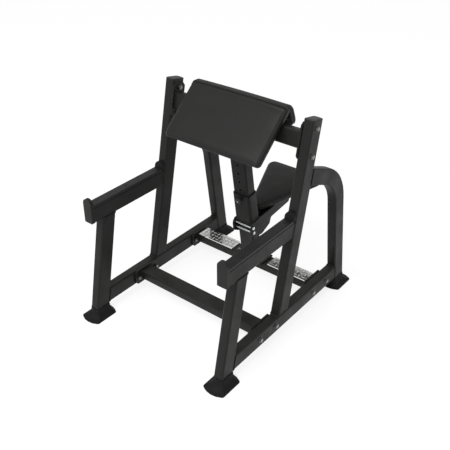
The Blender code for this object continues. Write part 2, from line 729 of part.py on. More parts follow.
def build_foot_plates(tread):
    """Bright tread plates on the rear crossbar, one for each foot."""
    low = BAR_HEIGHT + TUBE_NARROW / 2 + GAP
    inner = BASE_PLATE_WIDE / 2 + FOOT_PLATE_IN
    outer = FLANGE_FACE - FLANGE_THICK - FOOT_PLATE_OUT
    outline = rounded_rectangle(outer - inner, TUBE_DEEP, FOOT_PLATE_CORNER, 2)
    data = solid_mesh("foot_plate", [[(a, REAR_BAR_Y + b, z) for a, b in outline]
                                     for z in (low, low + FOOT_PLATE_THICK)])
    add_pair("foot_plate", data, tread, (inner + outer) / 2)


# Column

def column_point(up, forward=0.0):
    """A place by its distance up the column from the floor and forward of its centre line."""
    return Vector((0, COLUMN_FOOT_Y, 0)) + COLUMN_UP * up + COLUMN_FORWARD * forward


PIN_UP = SLEEVE_UP + SLEEVE_LONG - PIN_BELOW_TOP


def build_column(coat):
    """The leaning tube that the seat slides on, with its base, top plate, holes and stop."""
    base_low = BAR_HEIGHT + TUBE_NARROW / 2 + GAP
    cut_low = level_plane(base_low + BASE_PLATE_THICK / 2)
    cut_high = (COLUMN_HEAD - FRAME_UP * (BASE_PLATE_THICK / 2), FRAME_UP)
    rings = [[section_ring(section, column_point(0), COLUMN_UP, plane) for plane in (cut_low, cut_high)]
             for section in tube_sections(wide=COLUMN_WIDE, deep=COLUMN_DEEP)]
    column = add("column", hollow_mesh("column", *rings), coat)

    half = BASE_PLATE_WIDE / 2
    rear = REAR_BAR_Y + TUBE_DEEP / 2
    base_up = (base_low + BASE_PLATE_THICK) / COLUMN_UP.z
    front = column_point(base_up).y - COLUMN_DEEP / 2 / COLUMN_UP.z - BASE_PLATE_LIP
    base = box_mesh("column_base", (-half, front, base_low),
                    (half, rear, base_low + BASE_PLATE_THICK))
    combine(column, "UNION", "column_base", base)

    outline = rounded_rectangle(TOP_PLATE_WIDE, TOP_PLATE_DEEP, WELD_PLATE_CORNER, 2)
    head = solid_mesh("column_head", [
        [COLUMN_HEAD + ACROSS * a + FRAME_FORWARD * b - FRAME_UP * drop for a, b in outline]
        for drop in (0, BASE_PLATE_THICK)])
    combine(column, "UNION", "column_head", head)

    peg_top = SLEEVE_UP - COLLAR_THICK - BUSH_LIP - 2 * GAP
    peg_rear = -COLUMN_DEEP / 2 - PEG_DEEP
    peg = solid_mesh("column_peg", [
        [column_point(up, forward) + ACROSS * x
         for up, forward in ((peg_top, -COLUMN_DEEP / 2 + TUBE_WALL / 2), (peg_top, peg_rear),
                             (peg_top - PEG_TALL + PEG_DEEP, peg_rear),
                             (peg_top - PEG_TALL, -COLUMN_DEEP / 2 + TUBE_WALL / 2))]
        for x in (-PEG_WIDE / 2, PEG_WIDE / 2)])
    combine(column, "UNION", "column_peg", peg)

    for number in range(HOLE_COUNT):
        place = column_point(PIN_UP + number * HOLE_PITCH)
        hole = solid_mesh(f"column_hole_{number}", [
            circle_ring(place, COLUMN_FORWARD, along, PIN_NOSE_RADIUS + HOLE_PLAY, 12)
            for along in (COLUMN_DEEP / 4, COLUMN_DEEP)])
        combine(column, "DIFFERENCE", hole.name, hole)


# Seat carriage

BUSH_OUTER = SLIDE_PLAY + BUSH_THICK
SLEEVE_BORE = BUSH_OUTER + GAP
SLEEVE_OUTER = SLEEVE_BORE + SLEEVE_WALL


def column_ring(up, grow):
    """The column's outline at a distance up it, grown all round."""
    section = rounded_rectangle(COLUMN_WIDE + 2 * grow, COLUMN_DEEP + 2 * grow, TUBE_CORNER + grow)
    place = column_point(up)
    return section_ring(section, place, COLUMN_UP, (place, COLUMN_UP))


def build_sleeve(coat, carriage):
    """A box sleeve with a collar at its foot, which the side plates are welded to."""
    top = SLEEVE_UP + SLEEVE_LONG
    foot = SLEEVE_UP - COLLAR_THICK
    body = solid_mesh("carriage_sleeve", [column_ring(up, SLEEVE_OUTER)
                                          for up in (SLEEVE_UP - COLLAR_THICK / 2, top)])
    sleeve = add("carriage_sleeve", body, coat, parent=carriage)
    wide = SIDE_PLATE_X - GAP
    deep = COLUMN_DEEP / 2 + SLEEVE_BORE + SLEEVE_WALL / 2
    collar = solid_mesh("sleeve_collar", [
        [column_point(up, forward) + ACROSS * x
         for x, forward in ((-wide, -deep), (wide, -deep), (wide, deep), (-wide, deep))]
        for up in (foot, SLEEVE_UP)])
    combine(sleeve, "UNION", "sleeve_collar", collar)
    bore = solid_mesh("sleeve_bore", [column_ring(up, SLEEVE_BORE)
                                      for up in (foot - SLEEVE_WALL, top + SLEEVE_WALL)])
    combine(sleeve, "DIFFERENCE", "sleeve_bore", bore)
    hole = solid_mesh("sleeve_pin_hole", [
        circle_ring(column_point(PIN_UP), COLUMN_FORWARD, along, PIN_NOSE_RADIUS + HOLE_PLAY, 12)
        for along in (COLUMN_DEEP / 4, COLUMN_DEEP)])
    combine(sleeve, "DIFFERENCE", "sleeve_pin_hole", hole)


def build_bushes(plastic, carriage):
    """Plastic bushes between sleeve and column, each with a lip over the sleeve's end."""
    ends = {"upper": (SLEEVE_UP + SLEEVE_LONG, 1), "lower": (SLEEVE_UP - COLLAR_THICK, -1)}
    for name, (end, outward) in ends.items():
        inside = end - outward * BUSH_LONG
        lip_start = end + outward * GAP
        lip_end = lip_start + outward * BUSH_LIP
        outer = [column_ring(inside, BUSH_OUTER), column_ring(lip_start, BUSH_OUTER),
                 column_ring(lip_start, SLEEVE_OUTER), column_ring(lip_end, SLEEVE_OUTER)]
        inner = [column_ring(inside, SLIDE_PLAY), column_ring(lip_end, SLIDE_PLAY)]
        add(f"sleeve_bush_{name}", hollow_mesh(f"sleeve_bush_{name}", outer, inner), plastic,
            parent=carriage)


SEAT_UNDERSIDE = column_point(SLEEVE_UP).z + SEAT_RISE
SEAT_FRONT_Y = (column_point(SEAT_UNDERSIDE / COLUMN_UP.z).y
                + (COLUMN_DEEP / 2 + SLEEVE_OUTER) / COLUMN_UP.z + SEAT_GAP)


def seat_height(y, above=0.0):
    """Height of a plane under the seat, at a Y and a distance above the board's underside."""
    return SEAT_UNDERSIDE + (y - SEAT_FRONT_Y) * math.tan(SEAT_TILT) + above / math.cos(SEAT_TILT)


def cross_pin_place(name):
    return column_point(SLEEVE_UP - CROSS_PIN_DROP[name],
                        COLUMN_DEEP / 2 + CROSS_PIN_CLEAR + CROSS_PIN_RADIUS)


UNDER_PLATE = -SEAT_PLATE_THICK - 2 * GAP
ARM_START_Y = SEAT_FRONT_Y + SEAT_PLATE_START - PLATE_ARM_RAKE
ARM_END_Y = SEAT_FRONT_Y + SEAT_PLATE_START + SEAT_PLATE_LONG - PLATE_ARM_SHORT


def side_plate_underside():
    """The lower edge of the side plates: behind the column, up a step, and along the arm."""
    rear = column_point(SLEEVE_UP, -COLUMN_DEEP / 2 - SLEEVE_OUTER)
    seat = seat_height(rear.y)
    return [(rear.y + PLATE_KEEL[0], cross_pin_place("lower").z - PLATE_KEEL[1]),
            (rear.y + PLATE_STEP_LOW[0], seat - PLATE_STEP_LOW[1]),
            (rear.y + PLATE_STEP_HIGH[0], seat - PLATE_STEP_HIGH[1]),
            (ARM_END_Y - PLATE_ARM_RAKE, seat_height(ARM_END_Y, UNDER_PLATE) - PLATE_ARM_DEEP)]


def side_plate_outline():
    """Nose round the cross pins, belly below the column, and an arm back under the seat."""
    upper = cross_pin_place("upper")
    lower = cross_pin_place("lower")
    front = column_point(SLEEVE_UP, COLUMN_DEEP / 2 + SLEEVE_OUTER)
    rear = column_point(SLEEVE_UP, -COLUMN_DEEP / 2 - SLEEVE_OUTER)
    keel, step_low, step_high, arm_low = side_plate_underside()
    return rounded_outline([
        (front.y, front.z, PLATE_CORNER),
        (upper.y + PLATE_NOSE[0], upper.z - PLATE_NOSE[1], PLATE_NOSE_RADIUS),
        (lower.y + PLATE_CHIN[0], lower.z - PLATE_CHIN[1], PLATE_CHIN_RADIUS),
        (lower.y + PLATE_BELLY[0], lower.z - PLATE_BELLY[1], PLATE_BELLY_RADIUS),
        (*keel, PLATE_KEEL_RADIUS),
        (*step_low, PLATE_STEP_RADIUS),
        (*step_high, PLATE_STEP_RADIUS),
        (*arm_low, PLATE_STEP_RADIUS),
        (ARM_END_Y, seat_height(ARM_END_Y, UNDER_PLATE), PLATE_CORNER),
        (ARM_START_Y, seat_height(ARM_START_Y, UNDER_PLATE), 0),
        (rear.y, rear.z, PLATE_CORNER)])


def web_path(inside):
    """The web's line, a distance inside the side plates' lower edge, with its bends' radii."""
    keel, step_low, step_high, arm_low = (Vector(place) for place in side_plate_underside())
    route = [keel.lerp(step_low, WEB_START), step_low, step_high,
             step_high.lerp(arm_low, 1 - PLATE_STEP_RADIUS / (arm_low - step_high).length)]
    corners = []
    for index, place in enumerate(route):
        before = (place - route[index - 1]).normalized() if index else None
        after = (route[index + 1] - place).normalized() if index < len(route) - 1 else None
        across = [Vector((-along.y, along.x)) for along in (before, after) if along is not None]
        halfway = sum(across, Vector((0, 0))).normalized()
        place = place + halfway * (inside / halfway.dot(across[0]))
        turn = {1: PLATE_STEP_RADIUS - inside, 2: PLATE_STEP_RADIUS + inside}.get(index, 0)
        corners.append((*place, turn))
    return corners


def build_web(coat, carriage):
    """A folded plate that closes the underside between the side plates, behind the column."""
    outline = rounded_outline(web_path(WEB_SHY) + web_path(WEB_SHY + WEB_THICK)[::-1])
    add("bracket_web", plate_mesh("bracket_web", outline, SIDE_PLATE_X - GAP), coat, parent=carriage)


def build_side_plates(coat, carriage):
    outline = side_plate_outline()
    for side, sign in SIDES.items():
        x = sign * (SIDE_PLATE_X + SIDE_PLATE_THICK / 2)
        data = plate_mesh(f"side_plate_{side}", outline, SIDE_PLATE_THICK / 2)
        data.transform(Matrix.Translation((x, 0, 0)))
        plate = add(f"side_plate_{side}", data, coat, parent=carriage)
        for name in CROSS_PIN_DROP:
            hole = solid_mesh(f"cross_pin_hole_{name}", [
                circle_ring(cross_pin_place(name), ACROSS, along, CROSS_PIN_RADIUS + HOLE_PLAY)
                for along in (-FRAME_X, FRAME_X)])
            combine(plate, "DIFFERENCE", hole.name, hole)


def build_cross_pins(chrome, carriage):
    """Bright round pins through both side plates, close in front of the column."""
    face = SIDE_PLATE_X + SIDE_PLATE_THICK + GAP
    head = face + CROSS_PIN_HEAD_THICK
    full, small = CROSS_PIN_HEAD_RADIUS, CROSS_PIN_HEAD_RADIUS - CROSS_PIN_CHAMFER
    half = [(face, CROSS_PIN_RADIUS), (face, full), (head - CROSS_PIN_CHAMFER, full), (head, small)]
    stations = [(-along, radius) for along, radius in reversed(half)] + half
    for name in CROSS_PIN_DROP:
        place = cross_pin_place(name)
        rings = [circle_ring(place, ACROSS, along, radius) for along, radius in stations]
        add(f"cross_pin_{name}", solid_mesh(f"cross_pin_{name}", rings), chrome, parent=carriage)


def seat_outline(inset):
    """The seat seen from above: a round nose at y = 0 that widens to a broad rear edge."""
    nose = SEAT_FRONT_RADIUS
    corner = SEAT_REAR_CORNER
    corner_x = SEAT_REAR_HALF - corner
    corner_y = SEAT_LONG - corner
    # The side line touches the nose circle and the rear corner circle.
    apart = math.hypot(corner_x, corner_y - nose)
    aim = math.atan2(corner_y - nose, corner_x)
    spread = math.acos((nose - corner) / apart)
    touch = aim - spread
    points = []
    for step in range(5):
        angle = -math.pi / 2 + (touch + math.pi / 2) * (step + 1) / 5
        points.append(((nose - inset) * math.cos(angle), nose + (nose - inset) * math.sin(angle)))
    for step in range(6):
        angle = touch + (math.pi / 2 - touch) * step / 5
        points.append((corner_x + (corner - inset) * math.cos(angle),
                       corner_y + (corner - inset) * math.sin(angle)))
    mirrored = [(-x, y) for x, y in reversed(points)]
    return points + mirrored + [(0, inset)]


def seat_cushion_rings():
    """Board edge, drawn-in side, rounded shoulder and crown, as rings from low to high."""
    rings = [[(x, y, 0) for x, y in seat_outline(PAD_TUCK)],
             [(x, y, SEAT_WALL / 2) for x, y in seat_outline(0)],
             [(x, y, SEAT_WALL) for x, y in seat_outline(COVER_BULGE)]]
    shoulder = SEAT_FOAM_THICK - SEAT_WALL - SEAT_CROWN
    for degrees in (30, 60, 90):
        turn = math.radians(degrees)
        outline = seat_outline(COVER_BULGE + SEAT_ROUNDING * (1 - math.cos(turn)))
        rings.append([(x, y, SEAT_WALL + shoulder * math.sin(turn)) for x, y in outline])
    top = rings[-1]
    middle = SEAT_LONG * SEAT_CROWN_CENTRE
    for share, rise in ((0.66, 0.6), (0.3, 1.0)):
        rings.append([(x * share, middle + (y - middle) * share, z + SEAT_CROWN * rise)
                      for x, y, z in top])
    return rings


def build_seat(vinyl, wood, coat, carriage):
    """Steel plate, plywood board and upholstered cushion, all tilted with the seat."""
    tilted = Matrix.Translation((0, SEAT_FRONT_Y, SEAT_UNDERSIDE)) @ Matrix.Rotation(SEAT_TILT, 4, "X")

    def add_tilted(name, rings, material):
        data = solid_mesh(name, rings)
        data.transform(tilted)
        return add(name, data, material, parent=carriage)

    half = SEAT_PLATE_WIDE / 2
    start = SEAT_PLATE_START
    end = start + SEAT_PLATE_LONG
    plate = rounded_outline([(x, y, SEAT_PLATE_CORNER) for x, y in
                             ((-half, start), (half, start), (half, end), (-half, end))])
    add_tilted("seat_plate", [[(x, y, z) for x, y in plate]
                              for z in (-GAP, -GAP - SEAT_PLATE_THICK)], coat)
    add_tilted("seat_board", [[(x, y, z) for x, y in seat_outline(BOARD_INSET)]
                              for z in (0, SEAT_BOARD_THICK)], wood)
    lift = SEAT_BOARD_THICK + GAP
    add_tilted("seat_pad", [[(x, y, z + lift) for x, y, z in ring]
                            for ring in seat_cushion_rings()], vinyl)


# Pull pin

def pin_rings(stations, count=16):
    """Circles round the pull pin's axis, each (distance in front of the column, radius)."""
    place = column_point(PIN_UP, COLUMN_DEEP / 2)
    return [circle_ring(place, COLUMN_FORWARD, along, radius, count) for along, radius in stations]


def build_pull_pin(coat, chrome, plastic, carriage):
    """A spring-loaded pin through the sleeve, with its housing and its round knob."""
    seat = SLEEVE_OUTER + GAP
    end = seat + HOUSING_LONG
    housing = hollow_mesh("pin_housing", pin_rings([(seat, HOUSING_RADIUS), (end, HOUSING_RADIUS)]),
                          pin_rings([(seat, HOUSING_BORE), (end - HOUSING_CAP, HOUSING_BORE),
                                     (end - HOUSING_CAP, PIN_STEM_RADIUS + HOLE_PLAY),
                                     (end, PIN_STEM_RADIUS + HOLE_PLAY)]))
    add("pin_housing", housing, coat, parent=carriage)

    world = Matrix.Translation(column_point(PIN_UP, COLUMN_DEEP / 2)) @ Matrix.Rotation(-COLUMN_LEAN, 4, "X")
    pin_axis = add_axis("pull_pin_axis", world, carriage)
    shoulder = seat + GAP
    knob_foot = end - KNOB_SKIRT
    knob_end = end + GAP + KNOB_LONG - KNOB_SKIRT
    tip = knob_end + PIN_PROUD
    plunger = solid_mesh("pin_plunger", pin_rings([
        (PIN_NOSE_SHY, PIN_NOSE_RADIUS - PIN_CHAMFER), (PIN_NOSE_SHY + PIN_CHAMFER, PIN_NOSE_RADIUS),
        (shoulder, PIN_NOSE_RADIUS), (shoulder, PIN_SHOULDER_RADIUS),
        (shoulder + PIN_SHOULDER_THICK, PIN_SHOULDER_RADIUS),
        (shoulder + PIN_SHOULDER_THICK, PIN_STEM_RADIUS),
        (tip, PIN_STEM_RADIUS), (tip + PIN_CHAMFER, PIN_STEM_RADIUS - PIN_CHAMFER)]))
    add("pin_plunger", plunger, chrome, parent=pin_axis)

    web = end + GAP
    outer = pin_rings([(knob_foot, KNOB_RADIUS - KNOB_EDGE), (knob_foot + KNOB_EDGE, KNOB_RADIUS),
                       (knob_end - KNOB_CREST, KNOB_RADIUS), (knob_end, KNOB_RADIUS - KNOB_CREST)], 24)
    inner = pin_rings([(knob_foot, HOUSING_RADIUS + HOLE_PLAY), (web, HOUSING_RADIUS + HOLE_PLAY),
                       (web, PIN_STEM_RADIUS + GAP), (knob_end, PIN_STEM_RADIUS + GAP)], 24)
    add("pin_knob", hollow_mesh("pin_knob", outer, inner), plastic, parent=pin_axis)
    build_spring(chrome, carriage, shoulder + PIN_SHOULDER_THICK, end - HOUSING_CAP)


def build_spring(steel, carriage, low, high):
    """A helix of wire between the plunger's shoulder and the housing's cap."""
    place = column_point(PIN_UP, COLUMN_DEEP / 2)
    first = COLUMN_FORWARD.cross(ACROSS)
    start = low + SPRING_WIRE + GAP
    rise = high - SPRING_WIRE - GAP - start
    per_turn = 10
    count = SPRING_TURNS * per_turn
    route = bpy.data.curves.new("pin_spring", "CURVE")
    route.dimensions = "3D"
    route.bevel_depth = SPRING_WIRE
    route.bevel_resolution = 1
    route.use_fill_caps = True
    line = route.splines.new("POLY")
    line.points.add(count)
    for step in range(count + 1):
        angle = 2 * math.pi * step / per_turn
        spoke = ACROSS * math.cos(angle) + first * math.sin(angle)
        point = place + spoke * SPRING_RADIUS + COLUMN_FORWARD * (start + rise * step / count)
        line.points[step].co = (*point, 1)
    add("pin_spring", route, steel, parent=carriage)


# Arm pad

def ridge_at(depth):
    """Where the two leaves would meet, at a depth under the outer surface."""
    return RIDGE + RIDGE_INWARD * (depth / math.sin(RIDGE_HALF))


def corner_draw(x, half, radius):
    """How far a rounded corner draws the lower edge up, at a place across the pad."""
    beyond = abs(x) - (half - radius)
    if beyond <= 0:
        return 0.0
    return radius - math.sqrt(max(radius * radius - beyond * beyond, 0.0))


EDGE_STEPS = 4
FRONT_FLAT_STEPS = 3
REAR_FLAT_STEPS = 2
RIDGE_STEPS = 6
FRONT_LAST = EDGE_STEPS + FRONT_FLAT_STEPS               # the station where the ridge starts
REAR_FIRST = FRONT_LAST + RIDGE_STEPS                    # and the one where it ends
STATION_COUNT = REAR_FIRST + REAR_FLAT_STEPS + EDGE_STEPS + 1
EDGE_DISTANCES = [PAD_ROUNDING * (1 - math.cos(math.radians(90) * step / EDGE_STEPS))
                  for step in range(EDGE_STEPS + 1)]


def leaf_points(end, arc, steps):
    """From a leaf's edge to the ridge: close together over the shoulder, then evenly."""
    inward = (arc - end).normalized()
    shoulder = [end + inward * distance for distance in EDGE_DISTANCES]
    return shoulder + [shoulder[-1].lerp(arc, step / steps) for step in range(1, steps + 1)]


def pad_stations(x, depth, inset):
    """Points over the pad at one X: up the front leaf, round the ridge, down the rear leaf."""
    ridge = ridge_at(depth)
    round_radius = RIDGE_RADIUS + (PAD_INNER_RADIUS - RIDGE_RADIUS) * depth / PAD_FOAM_THICK
    to_arc = round_radius / math.tan(RIDGE_HALF)
    draw = corner_draw(x, PAD_HALF, PAD_CORNER) + inset
    front_end = RIDGE - FRONT_OUT * depth + FRONT_DOWN * (FRONT_LEAF - draw)
    rear_end = RIDGE - REAR_OUT * depth + REAR_DOWN * (REAR_LEAF - draw)
    front_arc = ridge + FRONT_DOWN * to_arc
    rear_arc = ridge + REAR_DOWN * to_arc
    points = leaf_points(front_end, front_arc, FRONT_FLAT_STEPS)
    centre = ridge + RIDGE_INWARD * (round_radius / math.sin(RIDGE_HALF))
    turn = math.pi - 2 * RIDGE_HALF
    for step in range(1, RIDGE_STEPS):
        swing = Matrix.Rotation(-turn * step / RIDGE_STEPS, 3, "X")
        points.append(centre + swing @ (front_arc - centre))
    points += reversed(leaf_points(rear_end, rear_arc, REAR_FLAT_STEPS))
    shrink = (PAD_HALF - inset) / PAD_HALF
    return [point + ACROSS * (x * shrink) for point in points]


def ease(distance):
    """Quarter-round shoulder: 0 at the pad's edge and 1 from the rounding inwards."""
    share = min(max(distance / PAD_ROUNDING, 0.0), 1.0)
    return math.sqrt(1 - (1 - share) ** 2)


def pad_surface(x):
    """The cover's outer surface at one X, with its rounded shoulders and its crown."""
    flat = pad_stations(x, 0, 0)
    deepest = pad_stations(x, PAD_FOAM_THICK - PAD_WALL, 0)
    side_ease = ease(PAD_HALF - abs(x))
    points = []
    for index, (high, low) in enumerate(zip(flat, deepest)):
        to_end = min((high - flat[0]).length, (high - flat[-1]).length)
        crown = PAD_CROWN * (x / PAD_HALF) ** 2 / (PAD_FOAM_THICK - PAD_WALL)
        lift = side_ease * ease(to_end) * (1 - crown)
        points.append(low.lerp(high, lift))
    return points


def pad_columns():
    """Places across the pad, closer together over its rounded sides."""
    flat = PAD_HALF - PAD_ROUNDING
    right = [flat * step / FRONT_FLAT_STEPS for step in range(FRONT_FLAT_STEPS)]
    right += [PAD_HALF - distance for distance in reversed(EDGE_DISTANCES)]
    return [-x for x in reversed(right[1:])] + right


def pad_mesh():
    """The upholstered cushion: crowned top, drawn-in sides and a flat back on the boards."""
    mesh = bmesh.new()
    columns = pad_columns()
    grid = [[mesh.verts.new(point) for point in pad_surface(x)] for x in columns]
    for left, right in zip(grid, grid[1:]):
        for low in range(STATION_COUNT - 1):
            mesh.faces.new((left[low], right[low], right[low + 1], left[low + 1]))

    def rim(depth, inset):
        """The points round the pad's edge at a depth, in one loop."""
        rows = [pad_stations(x, depth, inset) for x in columns]
        front = [row[0] for row in rows]
        right = rows[-1][1:]
        rear = [row[-1] for row in rows][-2::-1]
        left = rows[0][-2:0:-1]
        return front + right + rear + left

    edge = [row[0] for row in grid] + grid[-1][1:]
    edge += [row[-1] for row in grid][-2::-1] + grid[0][-2:0:-1]
    middle = [mesh.verts.new(p) for p in rim(PAD_FOAM_THICK - PAD_WALL / 2, -COVER_BULGE)]
    back = [mesh.verts.new(p) for p in rim(PAD_FOAM_THICK, PAD_TUCK)]
    bridge(mesh, edge, middle)
    bridge(mesh, middle, back)

    across = len(columns)
    right = back[across - 1:across - 1 + STATION_COUNT]
    left = [back[0]] + back[:-STATION_COUNT + 1:-1]
    rear_row = back[across + STATION_COUNT - 2:2 * across + STATION_COUNT - 2]
    left.append(rear_row[-1])
    mesh.faces.new(back[:across] + right[1:FRONT_LAST + 1] + left[FRONT_LAST:0:-1])
    for low in range(FRONT_LAST, REAR_FIRST):
        mesh.faces.new((left[low], right[low], right[low + 1], left[low + 1]))
    mesh.faces.new(left[REAR_FIRST:-1] + rear_row[::-1] + right[-2:REAR_FIRST - 1:-1])
    return finish_mesh("arm_pad", mesh)


def pad_board_mesh(name, down, out, long):
    """A plywood board behind one leaf, its lower corners rounded like the cushion's."""
    inner_ridge = ridge_at(PAD_FOAM_THICK + PAD_BOARD_THICK)
    start = (inner_ridge - RIDGE).dot(down) + BOARD_MITRE_GAP
    half = PAD_HALF - BOARD_INSET
    end = long - BOARD_INSET
    corner = PAD_CORNER - BOARD_INSET
    outline = rounded_outline([(-half, start, 0), (half, start, 0), (half, end, corner), (-half, end, corner)])
    high = PAD_FOAM_THICK + GAP
    low = PAD_FOAM_THICK + PAD_BOARD_THICK
    return solid_mesh(name, [[RIDGE + ACROSS * x + down * s - out * depth for x, s in outline]
                             for depth in (high, low)])


def build_pad_brackets(coat):
    """Bent straps under the boards, each on an upright gusset that stands on the crossbar."""
    high = STRAP_DEPTH
    low = high + STRAP_THICK

    def leaf_point(down, out, along, depth):
        point = RIDGE + down * along - out * depth
        return (point.y, point.z)

    outer, inner = ridge_at(high), ridge_at(low)
    strap = plate_mesh("pad_strap", [
        leaf_point(FRONT_DOWN, FRONT_OUT, STRAP_FRONT, high), (outer.y, outer.z),
        leaf_point(REAR_DOWN, REAR_OUT, STRAP_REAR, high),
        leaf_point(REAR_DOWN, REAR_OUT, STRAP_REAR, low), (inner.y, inner.z),
        leaf_point(FRONT_DOWN, FRONT_OUT, STRAP_FRONT, low)], STRAP_WIDE / 2)

    seat = UPPER_BAR_CENTRE + FRAME_UP * (TUBE_DEEP / 2 + GAP)
    reach = TUBE_NARROW / 2 - TUBE_CORNER
    middle = (high + low) / 2
    corners = []
    for side, out in ((1, FRONT_OUT), (-1, REAR_OUT)):
        foot = seat + FRAME_FORWARD * (side * reach)
        rise = (RIDGE - out * middle - foot).dot(out) / FRAME_UP.dot(out)
        corners.append((foot, foot + FRAME_UP * rise))
    top = ridge_at(middle)
    (front_foot, front_top), (rear_foot, rear_top) = corners
    gusset = plate_mesh("pad_gusset", [(p.y, p.z) for p in
                                       (front_foot, front_top, top, rear_top, rear_foot)],
                        GUSSET_THICK / 2)
    for side, sign in SIDES.items():
        place = (sign * STRAP_X, 0, 0)
        piece = add(f"pad_bracket_{side}", strap, coat, place)
        combine(piece, "UNION", f"pad_gusset_{side}", gusset, place)


def build_arm_pad(vinyl, wood, coat):
    add("arm_pad", pad_mesh(), vinyl)
    add("pad_board_front", pad_board_mesh("pad_board_front", FRONT_DOWN, FRONT_OUT, FRONT_LEAF), wood)
    add("pad_board_rear", pad_board_mesh("pad_board_rear", REAR_DOWN, REAR_OUT, REAR_LEAF), wood)
    build_pad_brackets(coat)


def build():
    for old in list(bpy.data.objects):
        bpy.data.objects.remove(old, do_unlink=True)
    coat = coating("black_powder_coat", (0.020, 0.021, 0.022), 0.42)
    rubber = coating("black_rubber", (0.010, 0.010, 0.011), 0.70)
    liner = coating("black_wear_plastic", (0.016, 0.016, 0.017), 0.50)
    plastic = coating("black_moulded_plastic", (0.012, 0.012, 0.013), 0.40)
    vinyl = coating("black_vinyl", (0.015, 0.015, 0.016), 0.48)
    wood = coating("black_stained_plywood", (0.012, 0.011, 0.010), 0.70)
    zinc = coating("zinc_plated_steel", (0.62, 0.62, 0.60), 0.35, 1.0)
    chrome = coating("chromed_steel", (0.75, 0.75, 0.76), 0.12, 1.0)
    tread = coating("bright_tread_plate", (0.78, 0.77, 0.74), 0.28, 1.0)

    holes = bolt_hole_mesh()
    build_side_frames(coat, rubber, liner, holes)
    for bar in ("front", "rear", "upper"):
        build_crossbar(bar, coat, holes)
    build_bolts(zinc)
    build_foot_plates(tread)
    build_column(coat)

    world = Matrix.Translation(column_point(SLEEVE_UP)) @ Matrix.Rotation(COLUMN_LEAN, 4, "X")
    carriage = add_axis("seat_slide_axis", world)
    build_sleeve(coat, carriage)
    build_bushes(plastic, carriage)
    build_side_plates(coat, carriage)
    build_web(coat, carriage)
    build_cross_pins(chrome, carriage)
    build_seat(vinyl, wood, coat, carriage)
    build_pull_pin(coat, chrome, plastic, carriage)
    build_arm_pad(vinyl, wood, coat)


build()
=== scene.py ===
import json
import math

import bmesh
import bpy
import numpy as np
from mathutils import Matrix, Vector
from mathutils.bvhtree import BVHTree
from mathutils.kdtree import KDTree

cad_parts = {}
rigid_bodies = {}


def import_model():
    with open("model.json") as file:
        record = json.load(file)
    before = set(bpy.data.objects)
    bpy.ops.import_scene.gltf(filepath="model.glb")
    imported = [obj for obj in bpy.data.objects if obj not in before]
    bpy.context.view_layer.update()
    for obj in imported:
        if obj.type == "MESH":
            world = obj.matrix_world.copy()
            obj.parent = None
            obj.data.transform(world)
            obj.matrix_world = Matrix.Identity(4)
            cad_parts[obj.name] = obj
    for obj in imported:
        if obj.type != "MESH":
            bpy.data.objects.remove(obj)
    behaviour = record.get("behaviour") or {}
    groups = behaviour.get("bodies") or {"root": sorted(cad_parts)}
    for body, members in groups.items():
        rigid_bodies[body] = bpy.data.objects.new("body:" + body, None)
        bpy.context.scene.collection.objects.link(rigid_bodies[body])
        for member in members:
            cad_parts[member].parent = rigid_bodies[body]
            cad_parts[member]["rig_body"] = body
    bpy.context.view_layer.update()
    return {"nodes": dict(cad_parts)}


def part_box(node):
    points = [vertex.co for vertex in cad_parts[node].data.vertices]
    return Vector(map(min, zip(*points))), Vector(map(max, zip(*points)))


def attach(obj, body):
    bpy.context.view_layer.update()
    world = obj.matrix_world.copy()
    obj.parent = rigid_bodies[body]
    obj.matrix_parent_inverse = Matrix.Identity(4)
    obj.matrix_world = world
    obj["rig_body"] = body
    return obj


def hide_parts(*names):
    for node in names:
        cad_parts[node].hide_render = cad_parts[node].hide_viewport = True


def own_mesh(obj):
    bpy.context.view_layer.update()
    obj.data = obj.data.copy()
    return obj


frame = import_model()


# The viewpoint: a long lens, high over the side that the user faces and toward the
# right-hand frame. Sight is the point that the lens looks at.

sight, away, lens = Vector((0.02598, -0.05567, 0.4490)), 3.3170, 55.215
turn, rise, tilt = math.radians(38.258), math.radians(32.309), math.radians(0.1122)
camera = bpy.data.objects.new("camera", bpy.data.cameras.new("camera"))
camera.data.lens = lens
camera.data.sensor_width = 36
camera.location = sight + away * Vector((math.sin(turn) * math.cos(rise),
                                         -math.cos(turn) * math.cos(rise), math.sin(rise)))
camera.rotation_euler = (sight - camera.location).to_track_quat("-Z", "Y").to_euler()
camera.rotation_euler.rotate_axis("Z", tilt)
bpy.context.scene.collection.objects.link(camera)
bpy.context.scene.camera = camera


# Frame tubes. Cold rolled steel tube, 50 by 80 mm with a 3 mm wall, mitred, welded and
# powder coated satin black in one piece for each side; the crossbars are bolted between.

TUBE_NARROW, TUBE_DEEP, TUBE_CORNER, CORNER_STEPS = 0.050, 0.080, 0.009, 6
FRAME_X = 0.390
SIDES = {"left": -1, "right": 1}


def linear(hex_colour):
    """A colour written in sRGB, as the linear numbers that a socket takes."""
    channels = [int(hex_colour[i:i + 2], 16) / 255 for i in (1, 3, 5)]
    return (*[c / 12.92 if c <= 0.04045 else ((c + 0.055) / 1.055) ** 2.4 for c in channels], 1.0)


def add_node(tree, kind, sockets=None, **settings):
    """Adds a node; sockets gives each socket its value, or the output that feeds it."""
    node = tree.nodes.new(kind)
    for name, value in settings.items():
        setattr(node, name, value)
    for socket, value in (sockets or {}).items():
        if isinstance(value, bpy.types.NodeSocket):
            tree.links.new(value, node.inputs[socket])
        else:
            node.inputs[socket].default_value = value
    return node


def new_material(name):
    """A material, its empty node tree, and the place on the piece that its patterns start from."""
    material = bpy.data.materials.new(name)
    material.use_nodes = True
    tree = material.node_tree
    tree.nodes.clear()
    place = add_node(tree, "ShaderNodeTexCoord").outputs["Object"]
    return material, tree, place


